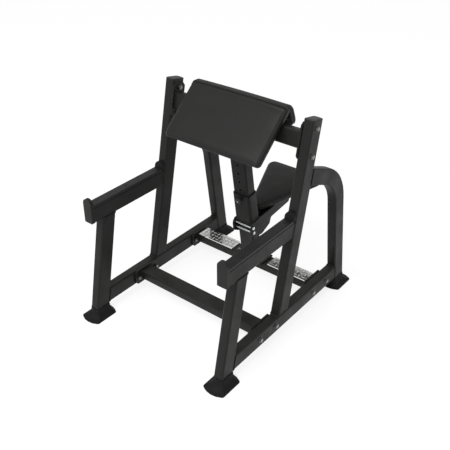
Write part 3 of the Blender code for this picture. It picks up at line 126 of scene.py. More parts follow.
def finish(material, tree, tint, colours, gloss, bump, shader, rounded=None):
    """The end of every finish. Tint is a pattern that turns the first colour into the second;
    gloss is a pattern, its range, and the roughness at both ends, or None; bump is a strength,
    a depth and a pattern; shader holds the values that are the same all over."""
    first, second = [c if isinstance(c, bpy.types.NodeSocket) else linear(c) for c in colours]
    tone = add_node(tree, "ShaderNodeMix", {0: tint, 6: first, 7: second}, data_type="RGBA")
    sockets = {"Base Color": tone.outputs[2], **shader}
    if gloss:
        ends = add_node(tree, "ShaderNodeMapRange", dict(enumerate(gloss)))
        sockets["Roughness"] = ends.outputs[0]
    uneven = dict(zip(("Strength", "Distance", "Height"), bump))
    if rounded is not None:
        uneven["Normal"] = rounded
    sockets["Normal"] = add_node(tree, "ShaderNodeBump", uneven).outputs[0]
    skin = add_node(tree, "ShaderNodeBsdfPrincipled", sockets)
    add_node(tree, "ShaderNodeOutputMaterial", {"Surface": skin.outputs[0]})
    return material


def powder_coat(name, colour, worn):
    """Epoxy powder coat: a satin skin with a faint orange peel, thin and greyer along edges."""
    material, tree, place = new_material(name)
    surface = add_node(tree, "ShaderNodeNewGeometry").outputs["Normal"]
    rounded = add_node(tree, "ShaderNodeBevel", {"Radius": 0.0022}, samples=6).outputs[0]
    bend = add_node(tree, "ShaderNodeVectorMath", {0: rounded, 1: surface}, operation="DOT_PRODUCT")
    edge = add_node(tree, "ShaderNodeMapRange",
                    {0: bend.outputs["Value"], 1: 0.998, 2: 0.93, 3: 0.0, 4: 1.0})
    rubbed = add_node(tree, "ShaderNodeTexNoise", {"Vector": place, "Scale": 45.0, "Detail": 5.0})
    patch = add_node(tree, "ShaderNodeMapRange",
                     {0: rubbed.outputs[0], 1: 0.48, 2: 0.66, 3: 0.0, 4: 0.55})
    wear = add_node(tree, "ShaderNodeMath", {0: edge.outputs[0], 1: patch.outputs[0]},
                    operation="MULTIPLY")
    # Dust settles on what faces up, in clouds a hand wide.
    up = add_node(tree, "ShaderNodeSeparateXYZ", {0: surface})
    level = add_node(tree, "ShaderNodeMapRange",
                     {0: up.outputs["Z"], 1: 0.5, 2: 1.0, 3: 0.0, 4: 1.0})
    clouds = add_node(tree, "ShaderNodeTexNoise", {"Vector": place, "Scale": 11.0, "Detail": 6.0})
    settled = add_node(tree, "ShaderNodeMapRange",
                       {0: clouds.outputs[0], 1: 0.35, 2: 0.75, 3: 0.0, 4: 0.07})
    dust = add_node(tree, "ShaderNodeMath", {0: level.outputs[0], 1: settled.outputs[0]},
                    operation="MULTIPLY")
    dusty = add_node(tree, "ShaderNodeMix",
                     {0: dust.outputs[0], 6: linear(colour), 7: linear("#8a867e")},
                     data_type="RGBA")
    # Real orange peel is 1 to 2 mm across; it is drawn at 4 mm so that it shows.
    peel = add_node(tree, "ShaderNodeTexNoise", {"Vector": place, "Scale": 250.0, "Detail": 2.0})
    return finish(material, tree, wear.outputs[0], (dusty.outputs[2], worn),
                  (clouds.outputs[0], 0.3, 0.7, 0.40, 0.56), (0.16, 0.0006, peel.outputs[0]),
                  {"IOR": 1.5, "Specular IOR Level": 0.22}, rounded)


black_powder_coat = powder_coat("satin_black_epoxy_powder_coat", "#1c1c1b", "#5c5b58")


def round_shading():
    """A modifier's node group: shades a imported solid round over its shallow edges."""
    group = bpy.data.node_groups.new("round_shading", "GeometryNodeTree")
    group.interface.new_socket("Geometry", in_out="INPUT", socket_type="NodeSocketGeometry")
    group.interface.new_socket("Geometry", in_out="OUTPUT", socket_type="NodeSocketGeometry")
    entry = add_node(group, "NodeGroupInput")
    bare = add_node(group, "GeometryNodeRemoveAttribute",
                    {0: entry.outputs[0], "Name": "custom_normal"})
    joined = add_node(group, "GeometryNodeMergeByDistance",
                      {"Geometry": bare.outputs[0], "Distance": 1e-5})
    angle = add_node(group, "GeometryNodeInputMeshEdgeAngle")
    shallow = add_node(group, "FunctionNodeCompare", {0: angle.outputs[0], 1: math.radians(34)},
                       operation="LESS_THAN")
    edges = add_node(group, "GeometryNodeSetShadeSmooth",
                     {"Geometry": joined.outputs[0], "Shade Smooth": shallow.outputs[0]},
                     domain="EDGE")
    faces = add_node(group, "GeometryNodeSetShadeSmooth",
                     {"Geometry": edges.outputs[0], "Shade Smooth": True}, domain="FACE")
    add_node(group, "NodeGroupOutput", {0: faces.outputs[0]})
    return group


rounding = round_shading()


def dress(names, material):
    """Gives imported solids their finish, and shades their rounded corners as round."""
    for name in names:
        piece = frame["nodes"][name]
        for slot in piece.material_slots:
            slot.material = material
        piece.modifiers.new("round shading", "NODES").node_group = rounding
        flats = piece.modifiers.new("flat faces stay flat", "WEIGHTED_NORMAL")
        flats.weight = 100
        flats.keep_sharp = True


def both(*names):
    return [f"{name}_{side}" for name in names for side in SIDES]


dress(both("base_rail", "front_post", "upright", "rear_leg", "bar_arm", "arm_front_stop",
           "pad_bracket"),
      black_powder_coat)
dress(["front_crossbar", "rear_crossbar", "upper_crossbar", "column"], black_powder_coat)


# Weld beads. Where two tubes meet, a fillet of MIG weld runs round the joint, a row of
# small ripples 4 mm apart, coated over with the tubes.

BEAD, RIPPLE_STEP, STEPS_IN_RIPPLE = 0.0030, 0.0013, 3
FRAME_LEAN, LEG_LEAN, RUN_SLOPE = math.radians(11.4), math.radians(8.6), math.radians(22.2)
FRAME_UP = Vector((0, math.sin(FRAME_LEAN), math.cos(FRAME_LEAN)))
FRAME_FORWARD = Vector((0, -math.cos(FRAME_LEAN), math.sin(FRAME_LEAN)))
LEG_FORWARD = Vector((0, -math.cos(LEG_LEAN), -math.sin(LEG_LEAN)))
RUN_DOWN = Vector((0, math.cos(RUN_SLOPE), -math.sin(RUN_SLOPE)))
ACROSS, ALONG, UP = Vector((1, 0, 0)), Vector((0, 1, 0)), Vector((0, 0, 1))
RAIL_BOTTOM, RAIL_MIDDLE, RAIL_TOP = 0.055, 0.095, 0.135
ARM_BOTTOM, ARM_MIDDLE, LEG_TOP = 0.534, 0.574, 0.801
POST_Y, UPRIGHT_Y, LEG_Y = -0.526, -0.118, 0.4215


def on_axis(y, lean_up, height):
    """A point on a leaning tube's centre line, which crosses the rail's underside at y."""
    return Vector((0, y, RAIL_BOTTOM)) + lean_up * ((height - RAIL_BOTTOM) / lean_up.z)


def add_piece(name, points, faces, material, body, slot):
    """A mesh of its own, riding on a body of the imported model."""
    mesh = bpy.data.meshes.new(name)
    mesh.from_pydata([tuple(p) for p in points], [], faces)
    mesh.update()
    mesh.shade_smooth()
    mesh.materials.append(material)
    piece = bpy.data.objects.new(name, mesh)
    bpy.context.scene.collection.objects.link(piece)
    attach(piece, body)
    return piece


def section(wide, deep, corner):
    """A rectangle with round corners, as (across, deep) pairs."""
    pairs = []
    for quarter, (sx, sy) in enumerate(((1, 1), (-1, 1), (-1, -1), (1, -1))):
        for step in range(CORNER_STEPS + 1):
            a = math.pi / 2 * (quarter + step / CORNER_STEPS)
            pairs.append((sx * (wide / 2 - corner) + corner * math.cos(a),
                          sy * (deep / 2 - corner) + corner * math.sin(a)))
    return pairs


def tube_loop(centre, direction, plane_point, plane_normal, wide=TUBE_NARROW, deep=TUBE_DEEP):
    """The line in which a tube's surface meets a plane."""
    deep_way = direction.cross(ACROSS).normalized()
    loop = []
    for a, b in section(wide, deep, TUBE_CORNER):
        p = centre + ACROSS * a + deep_way * b
        run = (plane_point - p).dot(plane_normal) / direction.dot(plane_normal)
        loop.append(p + direction * run)
    return loop


def evenly(line, pitch, closed=True):
    """Points along a line at one pitch."""
    ends = line + line[:1] if closed else line
    lengths = [(b - a).length for a, b in zip(ends, ends[1:])]
    count = max(4, round(sum(lengths) / pitch))
    made, walked, i = [], 0.0, 0
    for step in range(count if closed else count + 1):
        goal = sum(lengths) * step / count
        while i < len(lengths) - 1 and walked + lengths[i] < goal:
            walked += lengths[i]
            i += 1
        made.append(ends[i].lerp(ends[i + 1], (goal - walked) / max(lengths[i], 1e-9)))
    return made


def grid(start, rows, width, wrap_rows=False, wrap_width=True, capped=False):
    """Faces between neighbouring rows of points. wrap_width closes each row on itself,
    wrap_rows joins the last row to the first, and capped closes both ends."""
    faces = []
    for i in range(rows if wrap_rows else rows - 1):
        a, b = start + i * width, start + (i + 1) % rows * width
        for j in range(width if wrap_width else width - 1):
            k = (j + 1) % width
            faces.append((a + j, a + k, b + k, b + j))
    if capped:
        faces.append(tuple(start + j for j in reversed(range(width))))
        faces.append(tuple(start + (rows - 1) * width + j for j in range(width)))
    return faces


def bead_mesh(lines, radius=BEAD):
    """Rippled beads along lines, each given with the normal of the plane it lies in."""
    points, faces, sides = [], [], 6
    for line, plane_normal in lines:
        path = evenly(line, RIPPLE_STEP)
        start, count = len(points), len(path)
        for i, p in enumerate(path):
            tangent = (path[(i + 1) % count] - path[i - 1]).normalized()
            side = tangent.cross(plane_normal).normalized()
            ripple = math.cos(2 * math.pi * i / STEPS_IN_RIPPLE)
            swell = radius * (1 + 0.16 * ripple + 0.10 * math.sin(i * 0.37))
            for j in range(sides):
                a = 2 * math.pi * j / sides
                points.append(p + (plane_normal * math.cos(a) + side * math.sin(a)) * swell)
        faces += grid(start, count, sides, wrap_rows=True)
    return points, faces


def side_joints():
    """Each welded joint of a side frame: tube centre and direction, plane point and normal."""
    half = TUBE_DEEP / 2
    post_rear = on_axis(POST_Y, FRAME_UP, RAIL_MIDDLE) - FRAME_FORWARD * half
    leg_up = Vector((0, -math.sin(LEG_LEAN), math.cos(LEG_LEAN)))
    leg_front = on_axis(LEG_Y, leg_up, RAIL_MIDDLE) + LEG_FORWARD * half
    upright_front = on_axis(UPRIGHT_Y, FRAME_UP, ARM_MIDDLE) + FRAME_FORWARD * half
    upright_rear = on_axis(UPRIGHT_Y, FRAME_UP, LEG_TOP) - FRAME_FORWARD * half
    return [(Vector((0, 0, RAIL_MIDDLE)), ALONG, post_rear, FRAME_FORWARD),
            (Vector((0, 0, RAIL_MIDDLE)), ALONG, leg_front, LEG_FORWARD),
            (on_axis(UPRIGHT_Y, FRAME_UP, 0.3), FRAME_UP, Vector((0, 0, RAIL_TOP)), UP),
            (on_axis(POST_Y, FRAME_UP, 0.3), FRAME_UP, Vector((0, 0, ARM_BOTTOM)), UP),
            (Vector((0, 0, ARM_MIDDLE)), ALONG, upright_front, FRAME_FORWARD),
            (on_axis(UPRIGHT_Y, FRAME_UP, LEG_TOP), RUN_DOWN, upright_rear, FRAME_FORWARD)]


for side, sign in SIDES.items():
    beads = [(tube_loop(centre + ACROSS * (sign * FRAME_X), way, point, normal), normal)
             for centre, way, point, normal in side_joints()]
    add_piece(f"side_frame_welds_{side}", *bead_mesh(beads), black_powder_coat, "frame",
              "powder_coat")

FLANGE_INNER = 0.3567
UPPER_BAR = on_axis(UPRIGHT_Y, FRAME_UP, 0.9537)
for bar, centre, deep_way in (("front", Vector((0, -0.223, RAIL_MIDDLE)), ALONG),
                              ("rear", Vector((0, 0.225, RAIL_MIDDLE)), ALONG),
                              ("upper", UPPER_BAR, FRAME_UP)):
    thin_way = ACROSS.cross(deep_way)
    beads = [([centre + ACROSS * (sign * FLANGE_INNER) + deep_way * b + thin_way * a
               for a, b in section(TUBE_NARROW, TUBE_DEEP, TUBE_CORNER)], ACROSS)
             for sign in SIDES.values()]
    add_piece(f"{bar}_crossbar_welds", *bead_mesh(beads), black_powder_coat, "frame", "powder_coat")


# Column. The leaning 90 by 60 mm tube is welded to its base plate, which four small bolts
# hold on the rear crossbar, and to the plate under the upper one; a fillet runs round both.

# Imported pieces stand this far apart.
GAP = 0.0003
COLUMN_LEAN = 0.17809021
COLUMN_UP = Vector((0, -math.sin(COLUMN_LEAN), math.cos(COLUMN_LEAN)))
COLUMN_FORWARD = Vector((0, -math.cos(COLUMN_LEAN), -math.sin(COLUMN_LEAN)))
COLUMN_FOOT, COLUMN_WIDE, COLUMN_DEEP, WELD_PLATE = Vector((0, 0.2301, 0)), 0.090, 0.060, 0.008
BASE_TOP = 0.1283
HEAD_PLATE_UNDER = UPPER_BAR - FRAME_UP * (TUBE_DEEP / 2 + GAP + WELD_PLATE)
beads = [(tube_loop(COLUMN_FOOT, COLUMN_UP, point, normal, COLUMN_WIDE, COLUMN_DEEP), normal)
         for point, normal in ((Vector((0, 0, BASE_TOP)), UP), (HEAD_PLATE_UNDER, FRAME_UP))]
add_piece("column_welds", *bead_mesh(beads), black_powder_coat, "frame", "powder_coat")


# End caps. Low domed plugs of injection moulded polypropylene, pressed into the open
# tops of the uprights; the mould gives them a fine, dull spark grain.

def moulded_plastic(name, colour, grain, rough):
    """Moulded thermoplastic: even and dull, with the grain of the mould all over."""
    material, tree, place = new_material(name)
    rounded = add_node(tree, "ShaderNodeBevel", {"Radius": 0.0015}, samples=6).outputs[0]
    cloud = add_node(tree, "ShaderNodeTexNoise", {"Vector": place, "Scale": 25.0, "Detail": 4.0})
    # Real spark grain is about 0.1 mm across; it is drawn at 3 mm so that it shows.
    pits = add_node(tree, "ShaderNodeTexNoise",
                    {"Vector": place, "Scale": 1 / grain, "Detail": 3.0})
    return finish(material, tree, cloud.outputs[0], (colour, "#454544"),
                  (cloud.outputs[0], 0.3, 0.7, rough - 0.06, rough + 0.08),
                  (0.35, grain / 6, pits.outputs[0]), {"IOR": 1.49, "Specular IOR Level": 0.25},
                  rounded)


polypropylene = moulded_plastic("moulded_black_polypropylene", "#2c2c2c", 0.003, 0.5)
dress(both("upright_cap"), polypropylene)


# Feet and bumpers. Black rubber, compression moulded, pushed over the tube ends; it is
# duller than the plastic, and dust greys its edges.

def moulded_rubber(name):
    """Rubber: nearly no gloss, a powdery bloom, and paler where feet and edges get scuffed."""
    material, tree, place = new_material(name)
    surface = add_node(tree, "ShaderNodeNewGeometry").outputs["Normal"]
    rounded = add_node(tree, "ShaderNodeBevel", {"Radius": 0.003}, samples=6).outputs[0]
    bend = add_node(tree, "ShaderNodeVectorMath", {0: rounded, 1: surface}, operation="DOT_PRODUCT")
    edge = add_node(tree, "ShaderNodeMapRange",
                    {0: bend.outputs["Value"], 1: 0.999, 2: 0.92, 3: 0.0, 4: 0.5})
    bloom = add_node(tree, "ShaderNodeTexNoise", {"Vector": place, "Scale": 40.0, "Detail": 6.0})
    patch = add_node(tree, "ShaderNodeMapRange",
                     {0: bloom.outputs[0], 1: 0.4, 2: 0.75, 3: 0.0, 4: 0.3})
    scuffed = add_node(tree, "ShaderNodeMath", {0: edge.outputs[0], 1: patch.outputs[0]},
                       operation="MULTIPLY")
    return finish(material, tree, scuffed.outputs[0], ("#121213", "#3d3c3a"),
                  (bloom.outputs[0], 0.3, 0.7, 0.62, 0.8), (0.3, 0.0006, bloom.outputs[0]),
                  {"IOR": 1.52, "Specular IOR Level": 0.22}, rounded)


black_rubber = moulded_rubber("moulded_black_rubber")
dress(both("front_foot", "rear_foot", "arm_rear_stop"), black_rubber)


# Wear strips. Black nylon bar, 12 mm thick, screwed along the tops of the arms to carry
# the barbell; resting bars polish it and scratch it across.

def worn_nylon(name):
    """Extruded nylon: waxy, with fine drawn lines and the cross scratches of a bar."""
    material, tree, place = new_material(name)
    rounded = add_node(tree, "ShaderNodeBevel", {"Radius": 0.0015}, samples=6).outputs[0]
    # Real die lines are a few tenths of a millimetre apart; they are drawn at 2.5 mm.
    drawn = add_node(tree, "ShaderNodeMapping", {"Vector": place, "Scale": (400.0, 6.0, 400.0)})
    lines = add_node(tree, "ShaderNodeTexNoise",
                     {"Vector": drawn.outputs[0], "Scale": 1.0, "Detail": 2.0})
    crossed = add_node(tree, "ShaderNodeMapping", {"Vector": place, "Scale": (14.0, 500.0, 20.0)})
    marks = add_node(tree, "ShaderNodeTexNoise",
                     {"Vector": crossed.outputs[0], "Scale": 1.0, "Detail": 3.0})
    scratch = add_node(tree, "ShaderNodeMapRange",
                       {0: marks.outputs[0], 1: 0.62, 2: 0.72, 3: 0.0, 4: 0.5})
    height = add_node(tree, "ShaderNodeMath", {0: lines.outputs[0], 1: scratch.outputs[0]},
                      operation="SUBTRACT")
    return finish(material, tree, scratch.outputs[0], ("#19191a", "#4a4a49"),
                  (marks.outputs[0], 0.3, 0.7, 0.34, 0.5), (0.2, 0.0004, height.outputs[0]),
                  {"IOR": 1.53, "Specular IOR Level": 0.25}, rounded)


black_nylon = worn_nylon("extruded_black_nylon")
dress(both("arm_liner"), black_nylon)
dress(["sleeve_bush_upper", "sleeve_bush_lower"], black_nylon)


# Bolts. Zinc plated steel, dulled to grey: M12 hexagon bolts through the side frames, each
# on a flat washer with its head chamfered, smaller ones on the column's base plate, and
# black socket screws that hold the wear strips.

def plated_steel(name, colour, rough, line_bump):
    """Electroplated steel: a bright metal with soft clouds of stain in the plating."""
    material, tree, place = new_material(name)
    rounded = add_node(tree, "ShaderNodeBevel", {"Radius": 0.0006}, samples=6).outputs[0]
    cloud = add_node(tree, "ShaderNodeTexNoise", {"Vector": place, "Scale": 120.0, "Detail": 4.0})
    return finish(material, tree, cloud.outputs[0], (colour, "#716f6b"),
                  (cloud.outputs[0], 0.3, 0.7, rough * 0.8, rough * 1.4),
                  (line_bump, 0.0002, cloud.outputs[0]), {"Metallic": 1.0}, rounded)


zinc_plate = plated_steel("dull_zinc_plated_steel", "#9a9b9c", 0.30, 0.3)
dress([f"bolt_{bar}_{number}_{side}" for bar in ("front", "rear", "upper") for number in (1, 2)
       for side in SIDES], zinc_plate)


def turned(parts, steps=24):
    """Parts with round or hexagonal rings, each (centre, axis, rings, open hole or not).
    A ring is (radius, distance along the axis), with HEX after them for a hexagon."""
    points, faces = [], []
    for centre, axis, rings, holed in parts:
        first = axis.orthogonal().normalized()
        second = axis.cross(first)
        start = len(points)
        for radius, along, *hexed in rings:
            for j in range(steps):
                a = 2 * math.pi * j / steps
                reach = radius / math.cos(a % (math.pi / 3) - math.pi / 6) if hexed else radius
                points.append(centre + axis * along
                              + (first * math.cos(a) + second * math.sin(a)) * reach)
        faces += grid(start, len(rings), steps, wrap_rows=holed, capped=not holed)
    return points, faces


def edge_split(piece):
    """Keeps the corners of a turned part crisp while its round sides shade smooth."""
    piece.modifiers.new("crisp corners", "EDGE_SPLIT").split_angle = math.radians(32)


HEX = "hexagon"
WASHER = [(0.0085, 0.0), (0.0122, 0.0), (0.0125, 0.0003), (0.0125, 0.0013), (0.0122, 0.0016),
          (0.0085, 0.0016)]
HEAD_CHAMFER = [(0.0094, -0.0006), (0.0090, 0.0002), (0.0082, 0.0006), (0.0030, 0.0007)]
for side, sign in SIDES.items():
    washers, chamfers = [], []
    for bar in ("front", "rear", "upper"):
        for number in (1, 2):
            low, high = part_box(f"bolt_{bar}_{number}_{side}")
            outer = high.x if sign > 0 else low.x
            middle = (low + high) / 2
            seat = Vector((sign * (FRAME_X + TUBE_NARROW / 2), middle.y, middle.z))
            head = Vector((outer, middle.y, middle.z))
            washers.append((seat, ACROSS * sign, WASHER, True))
            chamfers.append((head, ACROSS * sign, HEAD_CHAMFER, False))
    edge_split(add_piece(f"frame_washers_{side}", *turned(washers), zinc_plate, "frame", "zinc"))
    edge_split(add_piece(f"bolt_head_faces_{side}", *turned(chamfers), zinc_plate, "frame", "zinc"))

SMALL_BOLT = [(0.0105, 0.0), (0.0105, 0.0014), (0.0080, 0.0015, HEX), (0.0080, 0.0074, HEX),
              (0.0076, 0.0080), (0.0030, 0.0082)]
BASE_BOLT_X, BASE_BOLT_Y = (-0.075, 0.075), (0.196, 0.236)
base_bolts = [(Vector((x, y, BASE_TOP)), UP, SMALL_BOLT, False)
              for x in BASE_BOLT_X for y in BASE_BOLT_Y]
edge_split(add_piece("column_base_bolts", *turned(base_bolts), zinc_plate, "frame", "zinc"))

LINER_TOP, LINER_SCREW_Y = 0.6260, (-0.478, -0.291, -0.104)
SOCKET_SCREW = [(0.0068, -0.0004), (0.0068, 0.0002), (0.0058, 0.0009), (0.0034, 0.0010, HEX),
                (0.0030, -0.0010, HEX), (0.0010, -0.0012, HEX)]
for side, sign in SIDES.items():
    screws = [(Vector((sign * FRAME_X, y, LINER_TOP)), UP, SOCKET_SCREW, False)
              for y in LINER_SCREW_Y]
    edge_split(add_piece(f"liner_screws_{side}", *turned(screws), black_powder_coat, "frame",
                         "powder_coat"))


# Tread plates. Rolled aluminium plate, 5 mm thick, polished by shoes, with rows of raised
# lozenges that point along and across the bar in turn.

def rolled_aluminium(name):
    """Rolled aluminium: bright, with fine rolling lines and dull scuffs from shoes."""
    material, tree, place = new_material(name)
    # Real rolling lines are a few tenths of a millimetre apart; they are drawn at 2 mm.
    rolled = add_node(tree, "ShaderNodeMapping", {"Vector": place, "Scale": (5.0, 500.0, 500.0)})
    lines = add_node(tree, "ShaderNodeTexNoise",
                     {"Vector": rolled.outputs[0], "Scale": 1.0, "Detail": 3.0})
    scuffs = add_node(tree, "ShaderNodeTexNoise", {"Vector": place, "Scale": 60.0, "Detail": 8.0})
    return finish(material, tree, scuffs.outputs[0], ("#fafaf9", "#d2d1ce"),
                  (scuffs.outputs[0], 0.35, 0.7, 0.08, 0.24), (0.10, 0.0003, lines.outputs[0]),
                  {"Metallic": 1.0})


bright_aluminium = rolled_aluminium("rolled_bright_aluminium")
dress(both("foot_plate"), bright_aluminium)

LOZENGE_LONG, LOZENGE_WIDE, LOZENGE_HIGH, LOZENGE_PITCH = 0.028, 0.0086, 0.0018, 0.0238
TREAD_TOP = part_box("foot_plate_left")[1].z


def grimy_aluminium_with_painted_shade(name):
    """The lozenges: polished on top by shoes, and near-black round their feet and lower sides, as
    packed grime and as painted shade where the ribs meet the plate.
    """
    material, tree, place = new_material(name)
    height = add_node(tree, "ShaderNodeSeparateXYZ", {0: place})
    grime_and_shade_noise = add_node(tree, "ShaderNodeTexNoise", {"Vector": place, "Scale": 150.0, "Detail": 4.0})
    level = add_node(tree, "ShaderNodeMath",
                     {0: grime_and_shade_noise.outputs[0], 1: 0.0012, 2: height.outputs["Z"]},
                     operation="MULTIPLY_ADD")
    # Painted shade and grime: below a ragged height just over the plate, each lozenge turns dark,
    # dull and unmetallic.
    clean_unshaded_top = add_node(tree, "ShaderNodeMapRange",
                     {0: level.outputs[0], 1: TREAD_TOP + 0.0008, 2: TREAD_TOP + 0.0018, 3: 0.0,
                      4: 1.0})
    return finish(material, tree, clean_unshaded_top.outputs[0], ("#201f1e", "#f6f6f5"),
                  (clean_unshaded_top.outputs[0], 0.0, 1.0, 0.7, 0.15), (0.2, 0.0003, grime_and_shade_noise.outputs[0]),
                  {"Metallic": clean_unshaded_top.outputs[0]})


trodden_aluminium = grimy_aluminium_with_painted_shade("trodden_aluminium_with_grime_and_painted_shade")


def lozenge(points, faces, middle, along, across):
    """A raised lens-shaped rib, pointed at both ends, in a thin flat rim that the material paints
    dark: grime and painted shade at the rib's foot.
    """
    start = len(points)
    lengths, widths = 11, 9
    for i in range(lengths):
        u = -1.10 + 2.20 * i / (lengths - 1)
        lens = max(0.0, 1 - u * u)
        # The rim: a flat skirt about 1.5 mm wide round the rib, painted dark as grime and painted
        # shade.
        half = LOZENGE_WIDE / 2 * lens + 0.0015 * max(0.15, 1 - (u / 1.2) ** 6)
        for j in range(widths):
            v = -1 + 2 * j / (widths - 1)
            rise = max(0.0, 1 - (v * half / (LOZENGE_WIDE / 2 * lens + 1e-6)) ** 2) * lens ** 0.5
            top = 0.0001 + (LOZENGE_HIGH - 0.0001) * rise
            points.append(middle + along * (u * LOZENGE_LONG / 2) + across * (v * half) + UP * top)
    faces += grid(start, lengths, widths, wrap_width=False)


for side in SIDES:
    low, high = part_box(f"foot_plate_{side}")
    centre = (low + high) / 2
    columns = int((high.x - low.x - LOZENGE_LONG) / LOZENGE_PITCH)
    points, faces = [], []
    for i in range(-(columns // 2), columns // 2 + 1):
        for j in (-1, 0, 1):
            middle = Vector((centre.x + i * LOZENGE_PITCH, centre.y + j * LOZENGE_PITCH, TREAD_TOP))
            along, across = (ACROSS, ALONG) if (i + j) % 2 else (ALONG, -ACROSS)
            lozenge(points, faces, middle, along, across)
    add_piece(f"tread_lozenges_{side}", points, faces, trodden_aluminium, "frame", "tread_plate")


# Seat carriage. A welded sleeve slides on the column between nylon bushes; two profiled
# side plates carry the seat plate, and two chromed pins run between them.

dress(["carriage_sleeve", "side_plate_left", "side_plate_right", "bracket_web", "seat_plate",
       "pin_housing"],
      black_powder_coat)


SLEEVE_UP, SLEEVE_OUTER = 0.3842, 0.0064
beads = [(tube_loop(COLUMN_FOOT, COLUMN_UP, COLUMN_FOOT + COLUMN_UP * SLEEVE_UP, COLUMN_UP,
                    COLUMN_WIDE + 2 * SLEEVE_OUTER, COLUMN_DEEP + 2 * SLEEVE_OUTER), COLUMN_UP)]
add_piece("sleeve_weld", *bead_mesh(beads, radius=0.0022), black_powder_coat, "seat_carriage",
          "powder_coat")


def chromed_steel(name):
    """Hard chrome on ground steel: a clear mirror with hair scratches round the pin."""
    material, tree, place = new_material(name)
    # Real grinding marks are finer than a tenth of a millimetre; they are drawn at 1 mm.
    ground = add_node(tree, "ShaderNodeMapping", {"Vector": place, "Scale": (900.0, 40.0, 40.0)})
    lines = add_node(tree, "ShaderNodeTexNoise",
                     {"Vector": ground.outputs[0], "Scale": 1.0, "Detail": 2.0})
    return finish(material, tree, lines.outputs[0], ("#f4f5f6", "#d5d7d9"),
                  (lines.outputs[0], 0.3, 0.7, 0.06, 0.16), (0.05, 0.0002, lines.outputs[0]),
                  {"Metallic": 1.0})


chrome = chromed_steel("hard_chromed_steel")
dress(["cross_pin_upper", "cross_pin_lower", "pin_plunger"], chrome)


# Pull pin. A ribbed knob of moulded polypropylene on a chromed plunger, which a coil of wire pushes
# toward the column's holes. The real coil is squeezed when the pin is pulled; this one is made at
# rest, on the carriage.

dress(["pin_knob"], polypropylene)

PIN_PLACE = COLUMN_FOOT + COLUMN_UP * 0.5272 + COLUMN_FORWARD * (COLUMN_DEEP / 2)
KNOB_RADIUS, KNOB_RIBS, RIB_HIGH, RIB_WIDE, RIB_POINTS = 0.016, 14, 0.0014, 0.0032, 7
RIB_STATIONS = ((0.0210, 0.0), (0.0222, 0.8), (0.0240, 1.0), (0.0280, 1.0), (0.0297, 0.7),
                (0.0310, 0.0))
points, faces = [], []
for rib in range(KNOB_RIBS):
    around = 2 * math.pi * (rib + 0.5) / KNOB_RIBS
    spoke = ACROSS * math.cos(around) + COLUMN_UP * math.sin(around)
    tangent = COLUMN_UP * math.cos(around) - ACROSS * math.sin(around)
    start = len(points)
    for along, height in RIB_STATIONS:
        for j in range(RIB_POINTS):
            a = math.pi * j / (RIB_POINTS - 1)
            reach = KNOB_RADIUS - 0.0006 + RIB_HIGH * height * math.sin(a)
            points.append(PIN_PLACE + COLUMN_FORWARD * along + spoke * reach
                          + tangent * (RIB_WIDE / 2 * math.cos(a) * (0.4 + 0.6 * height)))
    faces += grid(start, len(RIB_STATIONS), RIB_POINTS, wrap_width=False)
add_piece("knob_ribs", points, faces, polypropylene, "pull_pin", "moulded_plastic")

SPRING_FOOT, SPRING_HEAD, COIL_RADIUS, WIRE = 0.0103, 0.0229, 0.0062, 0.0005
TURN_STEPS, WIRE_SIDES, SQUEEZED = 24, 8, 0.40
COIL_STEPS = 5 * TURN_STEPS
points = []
for i in range(COIL_STEPS + 1):
    around = 2 * math.pi * i / TURN_STEPS
    spoke = ACROSS * math.cos(around) + COLUMN_UP * math.sin(around)
    middle = (PIN_PLACE + spoke * COIL_RADIUS
              + COLUMN_FORWARD * (SPRING_FOOT + (SPRING_HEAD - SPRING_FOOT) * i / COIL_STEPS))
    for j in range(WIRE_SIDES):
        a = 2 * math.pi * j / WIRE_SIDES
        points.append(middle + (spoke * math.cos(a) + COLUMN_FORWARD * math.sin(a)) * WIRE)
faces = grid(0, COIL_STEPS + 1, WIRE_SIDES)
faces.append(tuple(range(WIRE_SIDES)))
faces.append(tuple(COIL_STEPS * WIRE_SIDES + j for j in reversed(range(WIRE_SIDES))))
coil = add_piece("pin_coil_spring", points, faces, chrome, "seat_carriage", "chrome")
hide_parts("pin_spring")
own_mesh(coil)


# Cushions. A sheet of black upholstery vinyl is pulled over moulded foam on a plywood
# board, sewn at its edges, and stapled behind; the seams draw in and the panels crown.

def upholstery_vinyl(name):
    """Expanded vinyl: a satin skin with a leather grain of small pebbles and creases."""
    material, tree, place = new_material(name)
    # Real grain is about 1.5 mm across; it is drawn at 5 mm so that it shows.
    warp = add_node(tree, "ShaderNodeTexNoise", {"Vector": place, "Scale": 90.0, "Detail": 2.0})
    shifted = add_node(tree, "ShaderNodeMix", {0: 0.02, 6: place, 7: warp.outputs["Color"]},
                       data_type="RGBA")
    cells = add_node(tree, "ShaderNodeTexVoronoi", {"Vector": shifted.outputs[2], "Scale": 200.0},
                     feature="DISTANCE_TO_EDGE")
    crease = add_node(tree, "ShaderNodeMapRange",
                      {0: cells.outputs[0], 1: 0.0, 2: 0.28, 3: 0.0, 4: 1.0})
    stretch = add_node(tree, "ShaderNodeTexNoise", {"Vector": place, "Scale": 14.0, "Detail": 5.0})
    height = add_node(tree, "ShaderNodeMath", {0: crease.outputs[0], 1: 0.7}, operation="MULTIPLY")
    summed = add_node(tree, "ShaderNodeMath", {0: height.outputs[0], 1: stretch.outputs[0]},
                      operation="ADD")
    return finish(material, tree, stretch.outputs[0], ("#181817", "#1f1f1e"),
                  (stretch.outputs[0], 0.3, 0.7, 0.42, 0.55), (0.22, 0.0008, summed.outputs[0]),
                  {"IOR": 1.5, "Specular IOR Level": 0.25})


black_vinyl = upholstery_vinyl("grained_black_upholstery_vinyl")
VOXEL, DRAWN_IN, LOFT = 0.005, 0.0018, 0.0040
PRESSURE, CLOTH_FRAMES, EVENING_ROUNDS = 4.0, 20, 60


